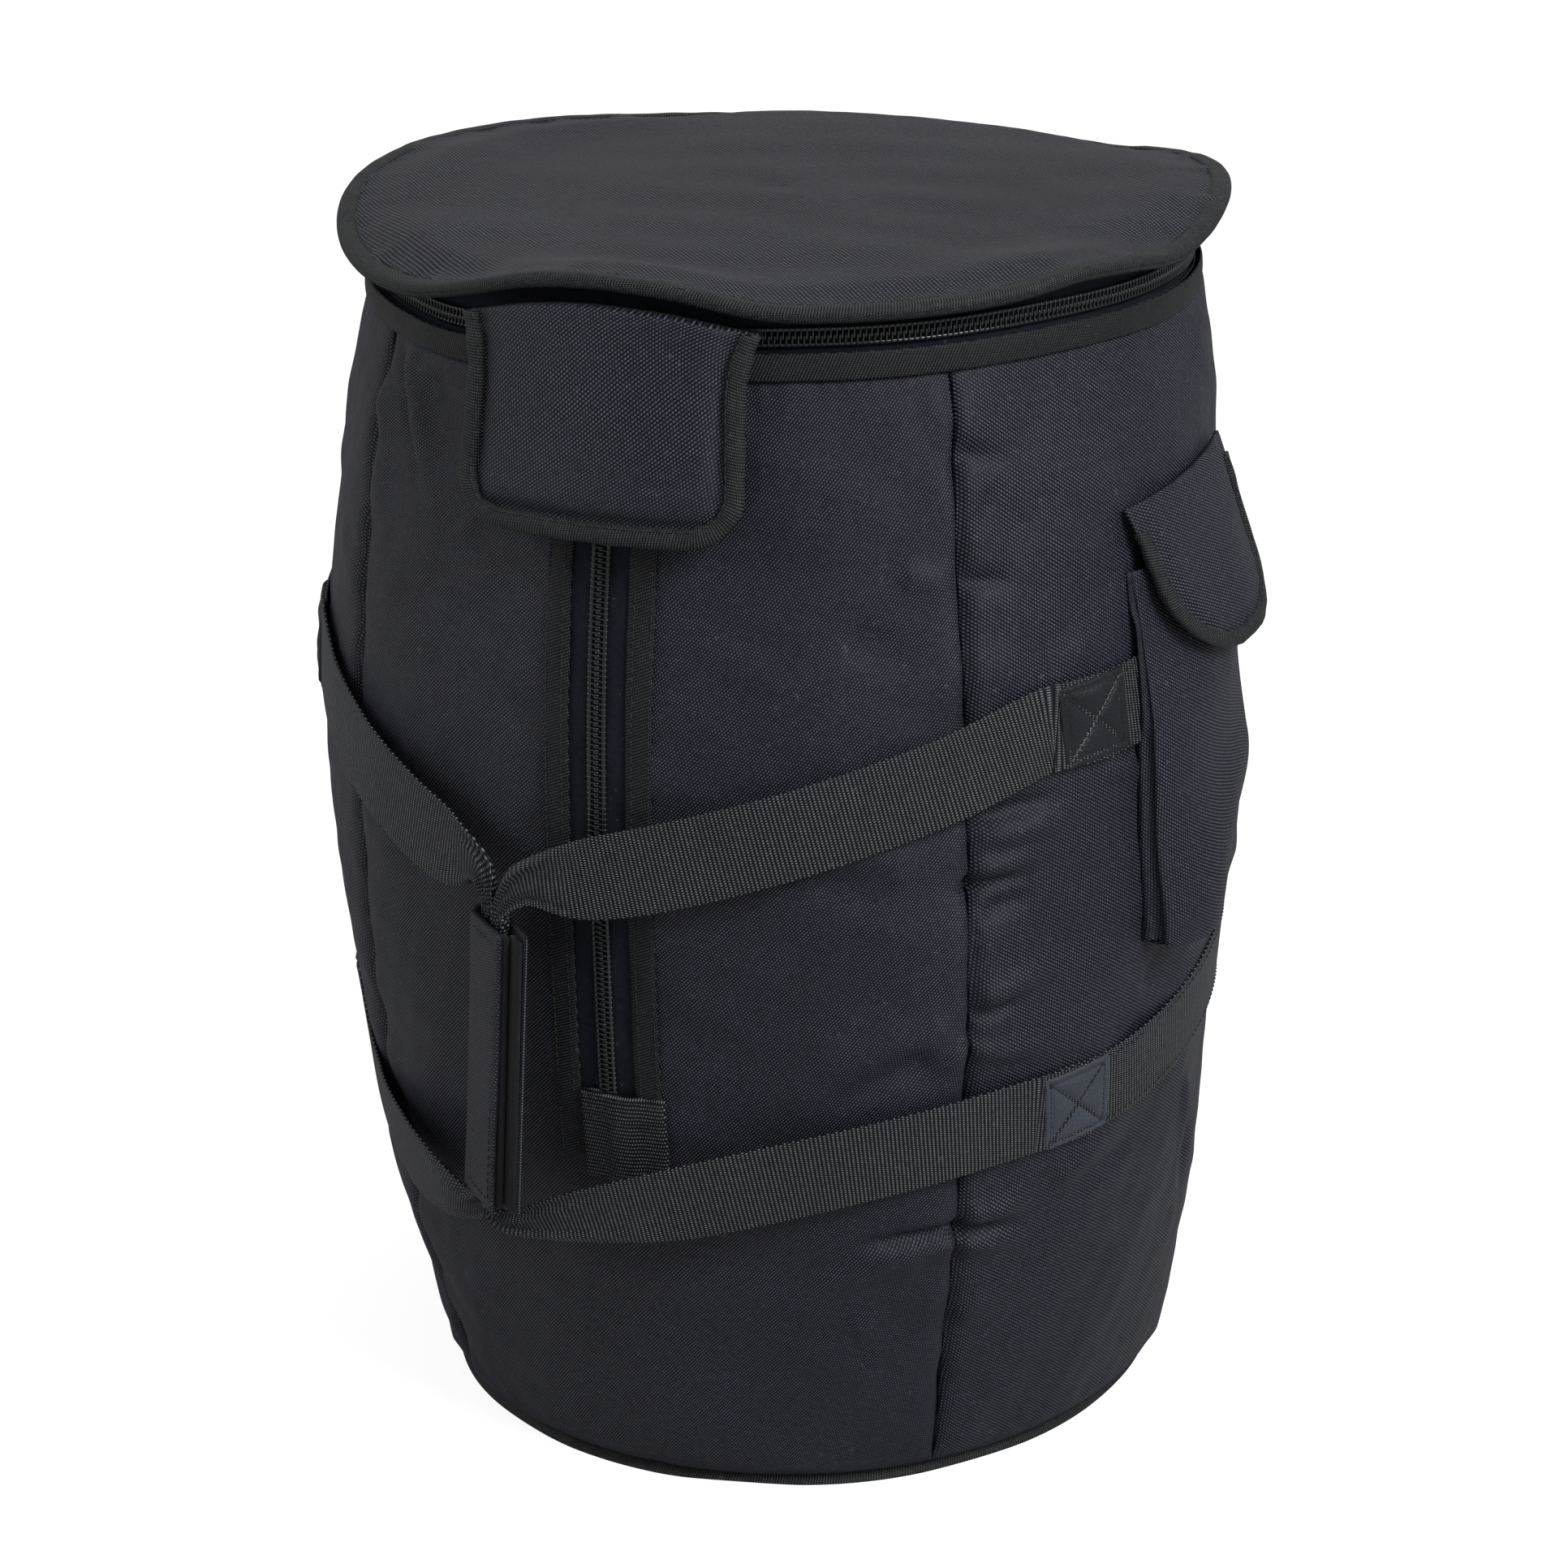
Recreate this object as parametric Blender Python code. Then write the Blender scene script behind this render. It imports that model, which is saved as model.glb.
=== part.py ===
"""Barrel-shaped padded drum bag with a zipped lid, a front zip, a side pocket and two webbing handles.

The bag stands on the XY plane with its axis on Z and its front zip towards -Y. All sizes are metres.
"""
import math

import bmesh
import bpy
from mathutils import Matrix, Vector

# Barrel: the outside of the cloth is an arc turned about Z
BELLY_RADIUS = 0.2105
BELLY_HEIGHT = 0.2945
CURVE_RADIUS = 0.983
WALL_TOP = 0.5205
FOOT_HEIGHT = 0.012
FOOT_REACH = 0.0245

# Layers of the wall and the small gap kept between pieces
CLOTH = 0.0012
FOAM = 0.008
LINING = 0.0008
GAP = 0.0003
SEAM_GAP = 0.0008

# Seams: half angles of the front and back panels
FRONT_SEAM = math.radians(44)
BACK_SEAM = math.radians(136)
PANEL_COLUMNS = 8
WALL_ROWS = 11
LOW_ROWS = 4
FOOT_TURN = math.radians(57)

# Base
BASE_RADIUS = 0.149
PIPING_RADIUS = 0.0023
PIPING_RING = 0.1522

# Mouth zip and front zip, coil size ten
CHAIN_WIDTH = 0.010
COIL_HEIGHT = 0.0026
TAPE = 0.0008
ROW_GAP = 0.0006
MOUTH_CHAIN = 0.537
MOUTH_BAND_TOP = 0.530
BAND_THICK = 0.001
ZIP_HALF_OPENING = 0.014
STRIP_WIDTH = 0.0105
SLIT_BOTTOM = 0.176
TOOTH_PITCH = 0.0034
COIL_TIP = 0.0012
COIL_ROOT = 0.0022
TAB_WIDTH = 0.039
TAB_HEIGHT = 0.044
TAB_TOP = 0.2095
TAB_ANGLE = math.radians(1.9)

# Lid
LID_BOTTOM = 0.5445
LID_INSET = 0.013
LID_RADIUS = BELLY_RADIUS - LID_INSET
LID_FOAM = 0.0085
LID_DOME = 0.004
LID_OVERHANG = 0.0124
RIM_BAND = 0.0095
RIM_GAP = 0.0011
RIM_LIFT = 0.0065
HINGE_COLUMNS = 2

# Bib: the padded flap that hangs from the lid over the zip ends
BIB_HALF_WIDTH = 0.0595
BIB_FLARE = 0.12
BIB_HEIGHT = 0.082
BIB_CORNER = 0.022
BIB_STANDOFF = 0.0118
BIB_SEAT = 0.0022
BIB_INSET = 0.0068
BIB_FOAM = 0.0045
BINDING = 0.001
BIB_BINDING_WIDTH = 0.0085
FOLD_GAP = 0.0007

# Sliders and pulls
SLIDER_LENGTH = 0.016
SLIDER_WIDTH = 0.0128
SLIDER_PLATE = 0.0016
SLIDER_CLEARANCE = 0.0007
BRIDGE_BAR = 0.0014
BRIDGE_RISE = 0.0034
BRIDGE_SPAN = 0.007
PULL_LENGTH = 0.020
PULL_WIDTH = 0.0072
PULL_THICK = 0.0012
PULL_EYE = 0.0042
FRONT_SLIDER_HEIGHT = 0.5035
MOUTH_SLIDER_ANGLE = math.radians(4.2)

# Webbing and its leatherette patches
WEBBING = 0.038
WEBBING_THICK = 0.0018
HANDLE_LIFT = 0.0012
PATCH = 0.036
PATCH_THICK = 0.0012
RIGHT_UPPER = (math.radians(60.4), 0.3685)
RIGHT_LOWER = (math.radians(59.2), 0.1905)
LEFT_UPPER = (math.radians(-66.0), 0.3560)
LEFT_LOWER = (math.radians(-64.8), 0.1905)
BACK_RISE = 0.024
BACK_RISE_ANGLE = math.radians(42)

# Grip sleeve round both handles
GRIP_ANGLE = math.radians(-14.6)
GRIP_LEAN = 0.075
GRIP_STANDOFF = 0.012
GRIP_RADIUS = BELLY_RADIUS + GRIP_STANDOFF
GRIP_FACING = math.radians(42.7)
GRIP_LENGTH = 0.133
GRIP_TOP = 0.2915
GRIP_DEPTH = 0.038
GRIP_SPACE = 0.0075
GRIP_PANEL = 0.0022
GATHERED_WIDTH = 0.014
GATHERED_THICK = 0.003
HOOK_WIDTH = 0.011
HOOK_THICK = 0.0009

# Side pocket
POCKET_ANGLE = math.radians(82.5)
POCKET_WIDTH = 0.106
POCKET_BOTTOM = 0.2525
POCKET_TOP = 0.4260
POCKET_DEPTH = 0.0175
POCKET_MOUTH_DEPTH = 0.0120
POCKET_FOOT_DEPTH = 0.005
POCKET_CLOTH = 0.0016
FLAP_RISE = 0.030
FLAP_HEIGHT = POCKET_TOP + FLAP_RISE
FLAP_WIDTH = 0.103
FLAP_DROP = 0.085
FLAP_CORNER = 0.046
FLAP_REACH = 0.0165
FLAP_TILT = math.radians(5)
FLAP_CLOTH = 0.0022
FLAP_BAND = 0.0075
CLOSURE_WIDTH = 0.050
CLOSURE_HEIGHT = 0.018
CLOSURE_DROP = 0.028
CLOSURE_OFFSET = 0.040


# Places on the barrel

def arc_angle(height):
    """Angle of the wall's arc at this height, from its widest point."""
    return math.asin((height - BELLY_HEIGHT) / CURVE_RADIUS)


def wall_radius(height, offset=0.0):
    """Distance from Z to the wall at this height, moved out by the offset along the wall's normal."""
    return BELLY_RADIUS - CURVE_RADIUS + (CURVE_RADIUS + offset) * math.cos(arc_angle(height))


def turned(radius, angle, height):
    """A point at this radius and height; angle 0 is the front and a positive angle turns to the right."""
    return Vector((radius * math.sin(angle), -radius * math.cos(angle), height))


def on_wall(angle, height, offset=0.0):
    """A point at this offset out of the wall's cloth."""
    phi = arc_angle(height)
    reach = CURVE_RADIUS + offset
    radius = BELLY_RADIUS - CURVE_RADIUS + reach * math.cos(phi)
    return turned(radius, angle, BELLY_HEIGHT + reach * math.sin(phi))


def on_foot(angle, turn, offset):
    """A point on the rounded foot: turn 0 is its top and a quarter turn is the floor."""
    radius = wall_radius(FOOT_HEIGHT) - FOOT_REACH * (1 - math.cos(turn))
    height = FOOT_HEIGHT * (1 - math.sin(turn))
    out = Vector((math.cos(turn) / FOOT_REACH, -math.sin(turn) / FOOT_HEIGHT)).normalized()
    return turned(radius + offset * out.x, angle, height + offset * out.y)


def outward(angle):
    return Vector((math.sin(angle), -math.cos(angle), 0.0))


def along(angle):
    return Vector((math.cos(angle), math.sin(angle), 0.0))


def spread(first, last, count):
    """count + 1 even values from first to last."""
    return [first + (last - first) * step / count for step in range(count + 1)]


def smooth(share):
    share = min(max(share, 0.0), 1.0)
    return share * share * (3 - 2 * share)


# Materials

def make_material(name, colour, roughness, metallic=0.0):
    material = bpy.data.materials.new(name)
    material.use_nodes = True
    shader = material.node_tree.nodes["Principled BSDF"]
    shader.inputs["Base Color"].default_value = (*colour, 1.0)
    shader.inputs["Roughness"].default_value = roughness
    shader.inputs["Metallic"].default_value = metallic
    material.diffuse_color = (*colour, 1.0)
    return material


FINISHES = {
    "cloth": ((0.034, 0.034, 0.043), 0.82),
    "foam": ((0.20, 0.20, 0.21), 0.95),
    "lining": ((0.018, 0.018, 0.022), 0.7),
    "binding": ((0.026, 0.029, 0.030), 0.75),
    "webbing": ((0.036, 0.038, 0.042), 0.7),
    "tape": ((0.012, 0.014, 0.022), 0.8),
    "coil": ((0.022, 0.024, 0.028), 0.4),
    "leatherette": ((0.075, 0.082, 0.105), 0.45),
    "metal": ((0.05, 0.05, 0.055), 0.35, 0.9),
    "hook": ((0.012, 0.012, 0.014), 0.95),
}


def dressed(name, mesh, finish, flat=True):
    """An object of this mesh with a material of its own."""
    obj = bpy.data.objects.new(name, mesh)
    mesh.materials.append(make_material(name, *FINISHES[finish]))
    mesh.polygons.foreach_set("use_smooth", [not flat] * len(mesh.polygons))
    bpy.context.scene.collection.objects.link(obj)
    return obj


# Builders of closed bodies

def mesh_of(name, points, faces):
    """A mesh with its normals facing out."""
    shape = bmesh.new()
    corners = [shape.verts.new(point) for point in points]
    for face in faces:
        shape.faces.new([corners[index] for index in face])
    bmesh.ops.recalc_face_normals(shape, faces=shape.faces)
    mesh = bpy.data.meshes.new(name)
    shape.to_mesh(mesh)
    shape.free()
    return mesh


def sheet_body(name, finish, inner, outer, closed=False, missing=()):
    """A closed body between two grids of points, rows of columns; missing lists cells left open."""
    rows = len(inner)
    columns = len(inner[0])
    spans = columns if closed else columns - 1
    flat = [point for row in inner for point in row] + [point for row in outer for point in row]
    layer = rows * columns

    def corner(row, column, side):
        return side * layer + row * columns + column % columns

    present = {
        (row, column)
        for row in range(rows - 1)
        for column in range(spans)
        if (row, column) not in missing
    }
    faces = []
    for row, column in present:
        ring = [(row, column), (row, column + 1), (row + 1, column + 1), (row + 1, column)]
        for side in (0, 1):
            faces.append([corner(r, c, side) for r, c in ring])
        beside = [(row - 1, column), (row, column + 1), (row + 1, column), (row, column - 1)]
        for index, (next_row, next_column) in enumerate(beside):
            if closed:
                next_column %= columns
            if (next_row, next_column) in present:
                continue
            a = ring[index]
            b = ring[(index + 1) % 4]
            faces.append([corner(*a, 0), corner(*b, 0), corner(*b, 1), corner(*a, 1)])
    used = sorted({index for face in faces for index in face})
    number = {index: place for place, index in enumerate(used)}
    mesh = mesh_of(name, [flat[index] for index in used], [[number[i] for i in face] for face in faces])
    return dressed(name, mesh, finish, flat=False)


def swept_body(name, finish, sections, closed=False):
    """A closed body through a list of sections that have the same number of points."""
    size = len(sections[0])
    points = [point for section in sections for point in section]
    faces = []
    spans = len(sections) if closed else len(sections) - 1
    for step in range(spans):
        here = step * size
        there = (step + 1) % len(sections) * size
        for side in range(size):
            after = (side + 1) % size
            faces.append([here + side, here + after, there + after, there + side])
    if not closed:
        faces.append(list(range(size)))
        faces.append([len(points) - size + side for side in range(size)])
    return dressed(name, mesh_of(name, points, faces), finish, flat=False)


def disc_body(name, finish, radii, low, high, angles):
    """A closed disc about Z; low and high give its two heights at a radius and an angle."""
    count = len(angles)
    points = [Vector((0.0, 0.0, low(0.0, 0.0))), Vector((0.0, 0.0, high(0.0, 0.0)))]
    for face in (low, high):
        for radius in radii:
            points += [turned(radius, angle, face(radius, angle)) for angle in angles]
    layer = len(radii) * count
    faces = []
    for side in (0, 1):
        start = 2 + side * layer
        for step in range(count):
            after = (step + 1) % count
            faces.append([side, start + step, start + after])
            for ring in range(len(radii) - 1):
                here = start + ring * count
                faces.append([here + step, here + after, here + count + after, here + count + step])
    rim = 2 + layer - count
    for step in range(count):
        after = (step + 1) % count
        faces.append([rim + step, rim + after, rim + layer + after, rim + layer + step])
    return dressed(name, mesh_of(name, points, faces), finish, flat=False)


# Angles shared by every ring, so that neighbouring facets stay parallel

def front_angles():
    """Columns of the front panel, with one at each side of the zip."""
    half = PANEL_COLUMNS // 2
    slit = math.asin(ZIP_HALF_OPENING / wall_radius(WALL_TOP))
    angles = spread(-FRONT_SEAM, FRONT_SEAM, PANEL_COLUMNS)
    return angles[:half] + [-slit, slit] + angles[half + 1:]


def ring_angles():
    front = front_angles()
    right = spread(FRONT_SEAM, BACK_SEAM, PANEL_COLUMNS)
    back = spread(BACK_SEAM, 2 * math.pi - BACK_SEAM, PANEL_COLUMNS)
    left = spread(2 * math.pi - BACK_SEAM, 2 * math.pi - FRONT_SEAM, PANEL_COLUMNS)
    return front[:-1] + right[:-1] + back[:-1] + left[:-1]


def wall_heights():
    """Heights of the wall's rows above the foot."""
    low = spread(FOOT_HEIGHT, SLIT_BOTTOM, LOW_ROWS)
    return low + spread(SLIT_BOTTOM, WALL_TOP, WALL_ROWS - LOW_ROWS)[1:]


def wall_point(row, angle, offset):
    """A point of the wall's grid; two rows lie on the rounded foot and the rest on the barrel."""
    if row < 2:
        return on_foot(angle, FOOT_TURN / (row + 1), offset)
    height = wall_heights()[row - 2]
    if row == 2:
        height -= offset * FOOT_HEIGHT / BASE_RADIUS * PANEL_COLUMNS / 2
    return on_wall(angle, height, offset)


def slit_angle(row):
    """Angle of the front zip's slit at this row; its edges stay the same distance apart."""
    return math.asin(ZIP_HALF_OPENING / wall_radius(wall_heights()[max(row - 2, 0)]))


def slit_cells(column):
    """Cells left open for the front zip."""
    return {(row + 2, column) for row in range(LOW_ROWS, WALL_ROWS)}


def wall_grid(angles, offset, slit=None):
    """Rows of points round the wall; slit is the column at the left of the front zip, if there is one."""
    grid = []
    for row in range(WALL_ROWS + 3):
        places = list(angles)
        if slit is not None:
            places[slit:slit + 2] = [-slit_angle(row), slit_angle(row)]
        grid.append([wall_point(row, angle, offset) for angle in places])
    return grid


def wall_piece(name, finish, first, last, near, far, angles, slit=None):
    """One panel of the wall between two seams and two offsets."""
    seam = SEAM_GAP / 2 / BELLY_RADIUS
    angles = [first + seam] + angles[1:-1] + [last - seam]
    missing = slit_cells(slit) if slit is not None else ()
    inner = wall_grid(angles, near, slit)
    outer = wall_grid(angles, far, slit)
    return sheet_body(name, finish, inner, outer, missing=missing)


PANELS = (
    ("front", -FRONT_SEAM, FRONT_SEAM),
    ("right_side", FRONT_SEAM, BACK_SEAM),
    ("back", BACK_SEAM, 2 * math.pi - BACK_SEAM),
    ("left_side", 2 * math.pi - BACK_SEAM, 2 * math.pi - FRONT_SEAM),
)


def build_wall():
    """Cloth panels, their foam and one lining."""
    foam_outside = -CLOTH - GAP
    foam_inside = foam_outside - FOAM
    for name, first, last in PANELS:
        slit = PANEL_COLUMNS // 2 if name == "front" else None
        angles = front_angles() if name == "front" else spread(first, last, PANEL_COLUMNS)
        wall_piece(f"{name}_panel", "cloth", first, last, -CLOTH, 0.0, angles, slit)
        wall_piece(f"{name}_foam", "foam", first, last, foam_inside, foam_outside, angles, slit)
    build_lining(foam_inside - GAP)


def build_lining(outside):
    """One lining round the whole inside, slit at the front zip."""
    slit = PANEL_COLUMNS // 2
    inner = wall_grid(ring_angles(), outside - LINING, slit)
    outer = wall_grid(ring_angles(), outside, slit)
    sheet_body("body_lining", "lining", inner, outer, closed=True, missing=slit_cells(slit))


def build_base():
    """Round base of cloth, foam and lining, and the piping round its seam."""
    angles = ring_angles()
    level = 0.0
    for name, finish, thick in (
        ("base_panel", "cloth", CLOTH),
        ("base_foam", "foam", FOAM),
        ("base_lining", "lining", LINING),
    ):
        low = level
        high = level + thick
        disc_body(name, finish, [BASE_RADIUS / 2, BASE_RADIUS], lambda s, a, z=low: z,
                  lambda s, a, z=high: z, angles)
        level = high + GAP
    sections = []
    for angle in angles:
        middle = turned(PIPING_RING, angle, PIPING_RADIUS + GAP)
        turns = spread(0.0, 2 * math.pi, 6)[:-1]
        sections.append([
            middle + PIPING_RADIUS * (outward(angle) * math.cos(turn) + Vector((0, 0, math.sin(turn))))
            for turn in turns
        ])
    swept_body("base_piping", "binding", sections, closed=True)


# Zips

def ring_band(name, finish, low, high, near, far, angles=None):
    """A band round the mouth between two heights and two offsets from the mouth's own radius."""
    closed = angles is None
    angles = ring_angles() if closed else angles
    mouth = wall_radius(MOUTH_CHAIN)
    inner = [[turned(mouth + near, angle, height) for angle in angles] for height in (low, high)]
    outer = [[turned(mouth + far, angle, height) for angle in angles] for height in (low, high)]
    return sheet_body(name, finish, inner, outer, closed=closed)


def hinge_half_angle():
    """Half of the hinge strip's turn; it ends on columns of the back panel."""
    return HINGE_COLUMNS * 2 * (math.pi - BACK_SEAM) / PANEL_COLUMNS


def chain_angles():
    """Angles of the mouth zip, from one side of the hinge strip round the front to the other."""
    every = [angle if angle <= math.pi else angle - 2 * math.pi for angle in ring_angles()]
    end = math.pi - hinge_half_angle() - SEAM_GAP / BELLY_RADIUS
    return [-end] + sorted(angle for angle in every if abs(angle) < end) + [end]


def build_mouth_zip():
    """Tapes, coil rows and the binding that covers the top edge of the wall."""
    chain_low = MOUTH_CHAIN - CHAIN_WIDTH / 2
    chain_high = MOUTH_CHAIN + CHAIN_WIDTH / 2
    row_low = MOUTH_CHAIN - ROW_GAP / 2
    row_high = MOUTH_CHAIN + ROW_GAP / 2
    coil_far = GAP + COIL_HEIGHT
    ring_band("mouth_zip_body_tape", "tape", WALL_TOP + GAP, row_low, -TAPE, 0.0)
    ring_band("mouth_zip_lid_tape", "tape", row_high, LID_BOTTOM - GAP, -TAPE, 0.0)
    ring_band("mouth_zip_body_coil", "coil", chain_low, row_low, GAP, coil_far, chain_angles())
    ring_band("mouth_zip_lid_coil", "coil", row_high, chain_high, GAP, coil_far, chain_angles())
    build_mouth_binding()


def build_mouth_binding():
    """Band over the join of the wall and the mouth zip, following the wall's slope."""
    angles = ring_angles()
    mouth = wall_radius(MOUTH_CHAIN)
    low = WALL_TOP - 0.2 * STRIP_WIDTH
    foot = wall_radius(low) + GAP
    head = mouth + GAP
    inner = [[turned(foot, a, low) for a in angles],
             [turned(max(wall_radius(WALL_TOP) + GAP, head), a, WALL_TOP + GAP) for a in angles],
             [turned(head, a, MOUTH_BAND_TOP) for a in angles]]
    outer = [[point + BAND_THICK * outward(angle) for point, angle in zip(row, angles)] for row in inner]
    sheet_body("mouth_binding", "binding", inner, outer, closed=True)


def zip_column(across, height, offset):
    """A place beside the front zip's middle, level with it, at this offset out of the wall."""
    return on_wall(math.asin(across / wall_radius(height)), height, offset)


def zip_strip(name, finish, left, right, low, high, near, far, count=8):
    """A strip along the front zip between two distances from its middle."""
    heights = spread(low, high, count)
    inner = [[zip_column(across, height, near) for across in (left, right)] for height in heights]
    outer = [[zip_column(across, height, far) for across in (left, right)] for height in heights]
    return sheet_body(name, finish, inner, outer)


def coil_row(name, side, low, high):
    """A row of coil heads that reach between those of the other row, along a spine of cord."""
    pitch_angle = TOOTH_PITCH / CURVE_RADIUS
    start = arc_angle(low)
    count = int((arc_angle(high) - start) / pitch_angle)
    columns = (-COIL_TIP, COIL_ROOT, CHAIN_WIDTH / 2)
    head = 0.5 - GAP / TOOTH_PITCH
    lead = 0.0 if side < 0 else 0.5
    inner = []
    outer = []
    for tooth in range(count):
        for share in (0.0, head):
            phi = start + (tooth + lead + share) * pitch_angle
            height = BELLY_HEIGHT + CURVE_RADIUS * math.sin(phi)
            inner.append([zip_column(side * across, height, 0.0) for across in columns])
            outer.append([zip_column(side * across, height, COIL_HEIGHT) for across in columns])
    missing = {(row, 0) for row in range(1, 2 * count, 2)}
    return sheet_body(name, "coil", inner, outer, missing=missing)


def build_front_zip():
    """Tapes, coil rows, the two binding strips and the webbing tab that closes the lower end."""
    edge = ZIP_HALF_OPENING - GAP
    strip_far = ZIP_HALF_OPENING + STRIP_WIDTH
    strip_top = WALL_TOP - 0.2 * STRIP_WIDTH - 3 * GAP
    chain_low = TAB_TOP - TAB_HEIGHT / 4
    chain_top = WALL_TOP - CHAIN_WIDTH / 4
    for side, name in ((-1, "left"), (1, "right")):
        sides = sorted((side * edge, side * ROW_GAP / 2))
        zip_strip(f"front_zip_{name}_tape", "tape", *sides, SLIT_BOTTOM + GAP, WALL_TOP,
                  -CLOTH, -CLOTH + TAPE, 10)
        sides = sorted((side * edge, side * strip_far))
        zip_strip(f"front_zip_{name}_strip", "binding", *sides, SLIT_BOTTOM, strip_top, GAP, BAND_THICK, 10)
        coil_row(f"front_zip_{name}_coil", side, chain_low, chain_top)
    build_zip_tab()


def build_zip_tab():
    """Folded end of webbing sewn over the lower end of the front zip."""
    lift = BAND_THICK + 2 * GAP
    coil = COIL_HEIGHT + GAP
    half = TAB_WIDTH / 2
    shift = TAB_ANGLE * BELLY_RADIUS
    across = [-half, -CHAIN_WIDTH * 0.8, -CHAIN_WIDTH * 0.55, CHAIN_WIDTH * 0.55, CHAIN_WIDTH * 0.8, half]
    heights = spread(TAB_TOP - TAB_HEIGHT, TAB_TOP, 6)

    def at(place, height, extra):
        over = coil if abs(place) < CHAIN_WIDTH * 0.6 else lift
        return zip_column(place + (shift if abs(place) == half else 0.0), height, over + extra)

    inner = [[at(place, height, 0.0) for place in across] for height in heights]
    outer = [[at(place, height, WEBBING_THICK) for place in across] for height in heights]
    sheet_body("front_zip_end_tab", "webbing", inner, outer)


# Lid

# Waves of the soft rim: the angle where each is fullest, how far it reaches, and its share of the rim's lift
RIM_LOBE_SHARES = (
    (-4, 21, 1.0),
    (-50, 24, -0.6),
    (40, 22, -0.2),
    (108, 30, 0.9),
    (-98, 28, 0.6),
    (180, 45, -0.6),
)


def rim_wave(angle):
    """Height the rim of the soft lid gains or loses round its edge."""
    total = 0.0
    for middle, reach, share in RIM_LOBE_SHARES:
        away = (angle - math.radians(middle) + math.pi) % (2 * math.pi) - math.pi
        total += share * math.exp(-(away / math.radians(reach)) ** 2)
    return RIM_LIFT * total


def overhang_share(radius):
    """How far out this radius lies on the part of the lid that reaches past the mouth."""
    return max(radius - LID_RADIUS + LID_OVERHANG, 0.0) / LID_OVERHANG


def lid_height(radius, angle):
    """How far the lid's layers rise above their flat place; only the overhanging rim is wavy."""
    angle = (angle + math.pi) % (2 * math.pi) - math.pi
    dome = LID_DOME * (1 - (radius / LID_RADIUS) ** 2)
    return dome + rim_wave(angle) * overhang_share(radius)


def build_lid():
    """Lining, foam and cloth of the lid, and the binding round its rim."""
    angles = ring_angles()
    seat = LID_RADIUS - BINDING - RIM_GAP
    flat = LID_RADIUS - LID_OVERHANG
    radii = [flat / 2, flat, LID_RADIUS - RIM_BAND, seat]

    def layer(level):
        return lambda radius, angle: level + lid_height(radius, angle)

    bottom = LID_BOTTOM
    disc_body("lid_lining", "lining", radii, layer(bottom), layer(bottom + LINING), angles)
    foam = bottom + LINING + GAP
    disc_body("lid_foam", "foam", radii, layer(foam), layer(foam + LID_FOAM), angles)
    cover = foam + LID_FOAM + GAP
    disc_body("lid_cover", "cloth", radii, layer(cover), layer(cover + CLOTH), angles)
    build_rim_binding(bottom, cover + CLOTH, angles)


def build_rim_binding(bottom, top, angles):
    """Folded tape round the rim, open towards the middle so that the lid's layers sit in it."""
    inside = LID_RADIUS - RIM_BAND
    sections = []
    for angle in angles:
        def at(radius, level):
            return turned(radius, angle, level + lid_height(radius, angle))

        low = bottom - RIM_GAP
        high = top + RIM_GAP
        sections.append([
            at(inside, low - BINDING),
            at(LID_RADIUS - BINDING, low - BINDING),
            at(LID_RADIUS, low + BINDING),
            at(LID_RADIUS, high - BINDING),
            at(LID_RADIUS - BINDING, high + BINDING),
            at(inside, high + BINDING),
            at(inside, high),
            at(LID_RADIUS - BINDING, high),
            at(LID_RADIUS - BINDING, low),
            at(inside, low),
        ])
    swept_body("lid_rim_binding", "binding", sections, closed=True)


def build_hinge_strip():
    """Cloth strip behind the mouth that the lid swings on."""
    end = hinge_half_angle()
    angles = spread(math.pi - end, math.pi + end, 2 * HINGE_COLUMNS)
    low = MOUTH_BAND_TOP + GAP
    ring_band("lid_hinge_strip", "cloth", low, MOUTH_CHAIN - ROW_GAP, GAP, CLOTH, angles)


# Flat pieces with rounded lower corners, laid on a curved face

def bib_place(across, down, offset):
    """A place on the bib: across from its middle, down from its top, and out of its back face."""
    top = LID_BOTTOM - BINDING - BIB_SEAT
    start = LID_RADIUS - BIB_INSET
    end = wall_radius(top - BIB_HEIGHT) + BIB_STANDOFF
    share = down / BIB_HEIGHT
    angle = across / start * (1 + BIB_FLARE * max(1 - 3 * share, 0.0) ** 2)
    radius = start + (end - start) * share + offset
    rise = max(rim_wave(angle), 0.0) * overhang_share(radius) * max(1 - 2 * share, 0.0)
    return turned(radius, angle, top - down + rise)


def half_width_at(down, half, height, corner):
    """Half width of an upright shape whose two lower corners are round."""
    into = down - (height - corner)
    if into <= 0:
        return half
    return half - corner + math.sqrt(max(corner ** 2 - into ** 2, 0.0))


def tongue_body(name, finish, place, half, height, corner, near, far, rows=8, columns=10):
    """A tongue with round lower corners between two offsets from the face that place gives."""
    turn = spread(0.0, 0.46 * math.pi, rows // 2)
    downs = spread(0.0, height - corner, rows // 2)[:-1] + [
        height - corner + corner * math.sin(angle) for angle in turn
    ]
    inner = []
    outer = []
    for down in downs:
        wide = half_width_at(down, half, height, corner)
        across = spread(-wide, wide, columns)
        inner.append([place(step, down, near) for step in across])
        outer.append([place(step, down, far) for step in across])
    return sheet_body(name, finish, inner, outer)


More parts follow.
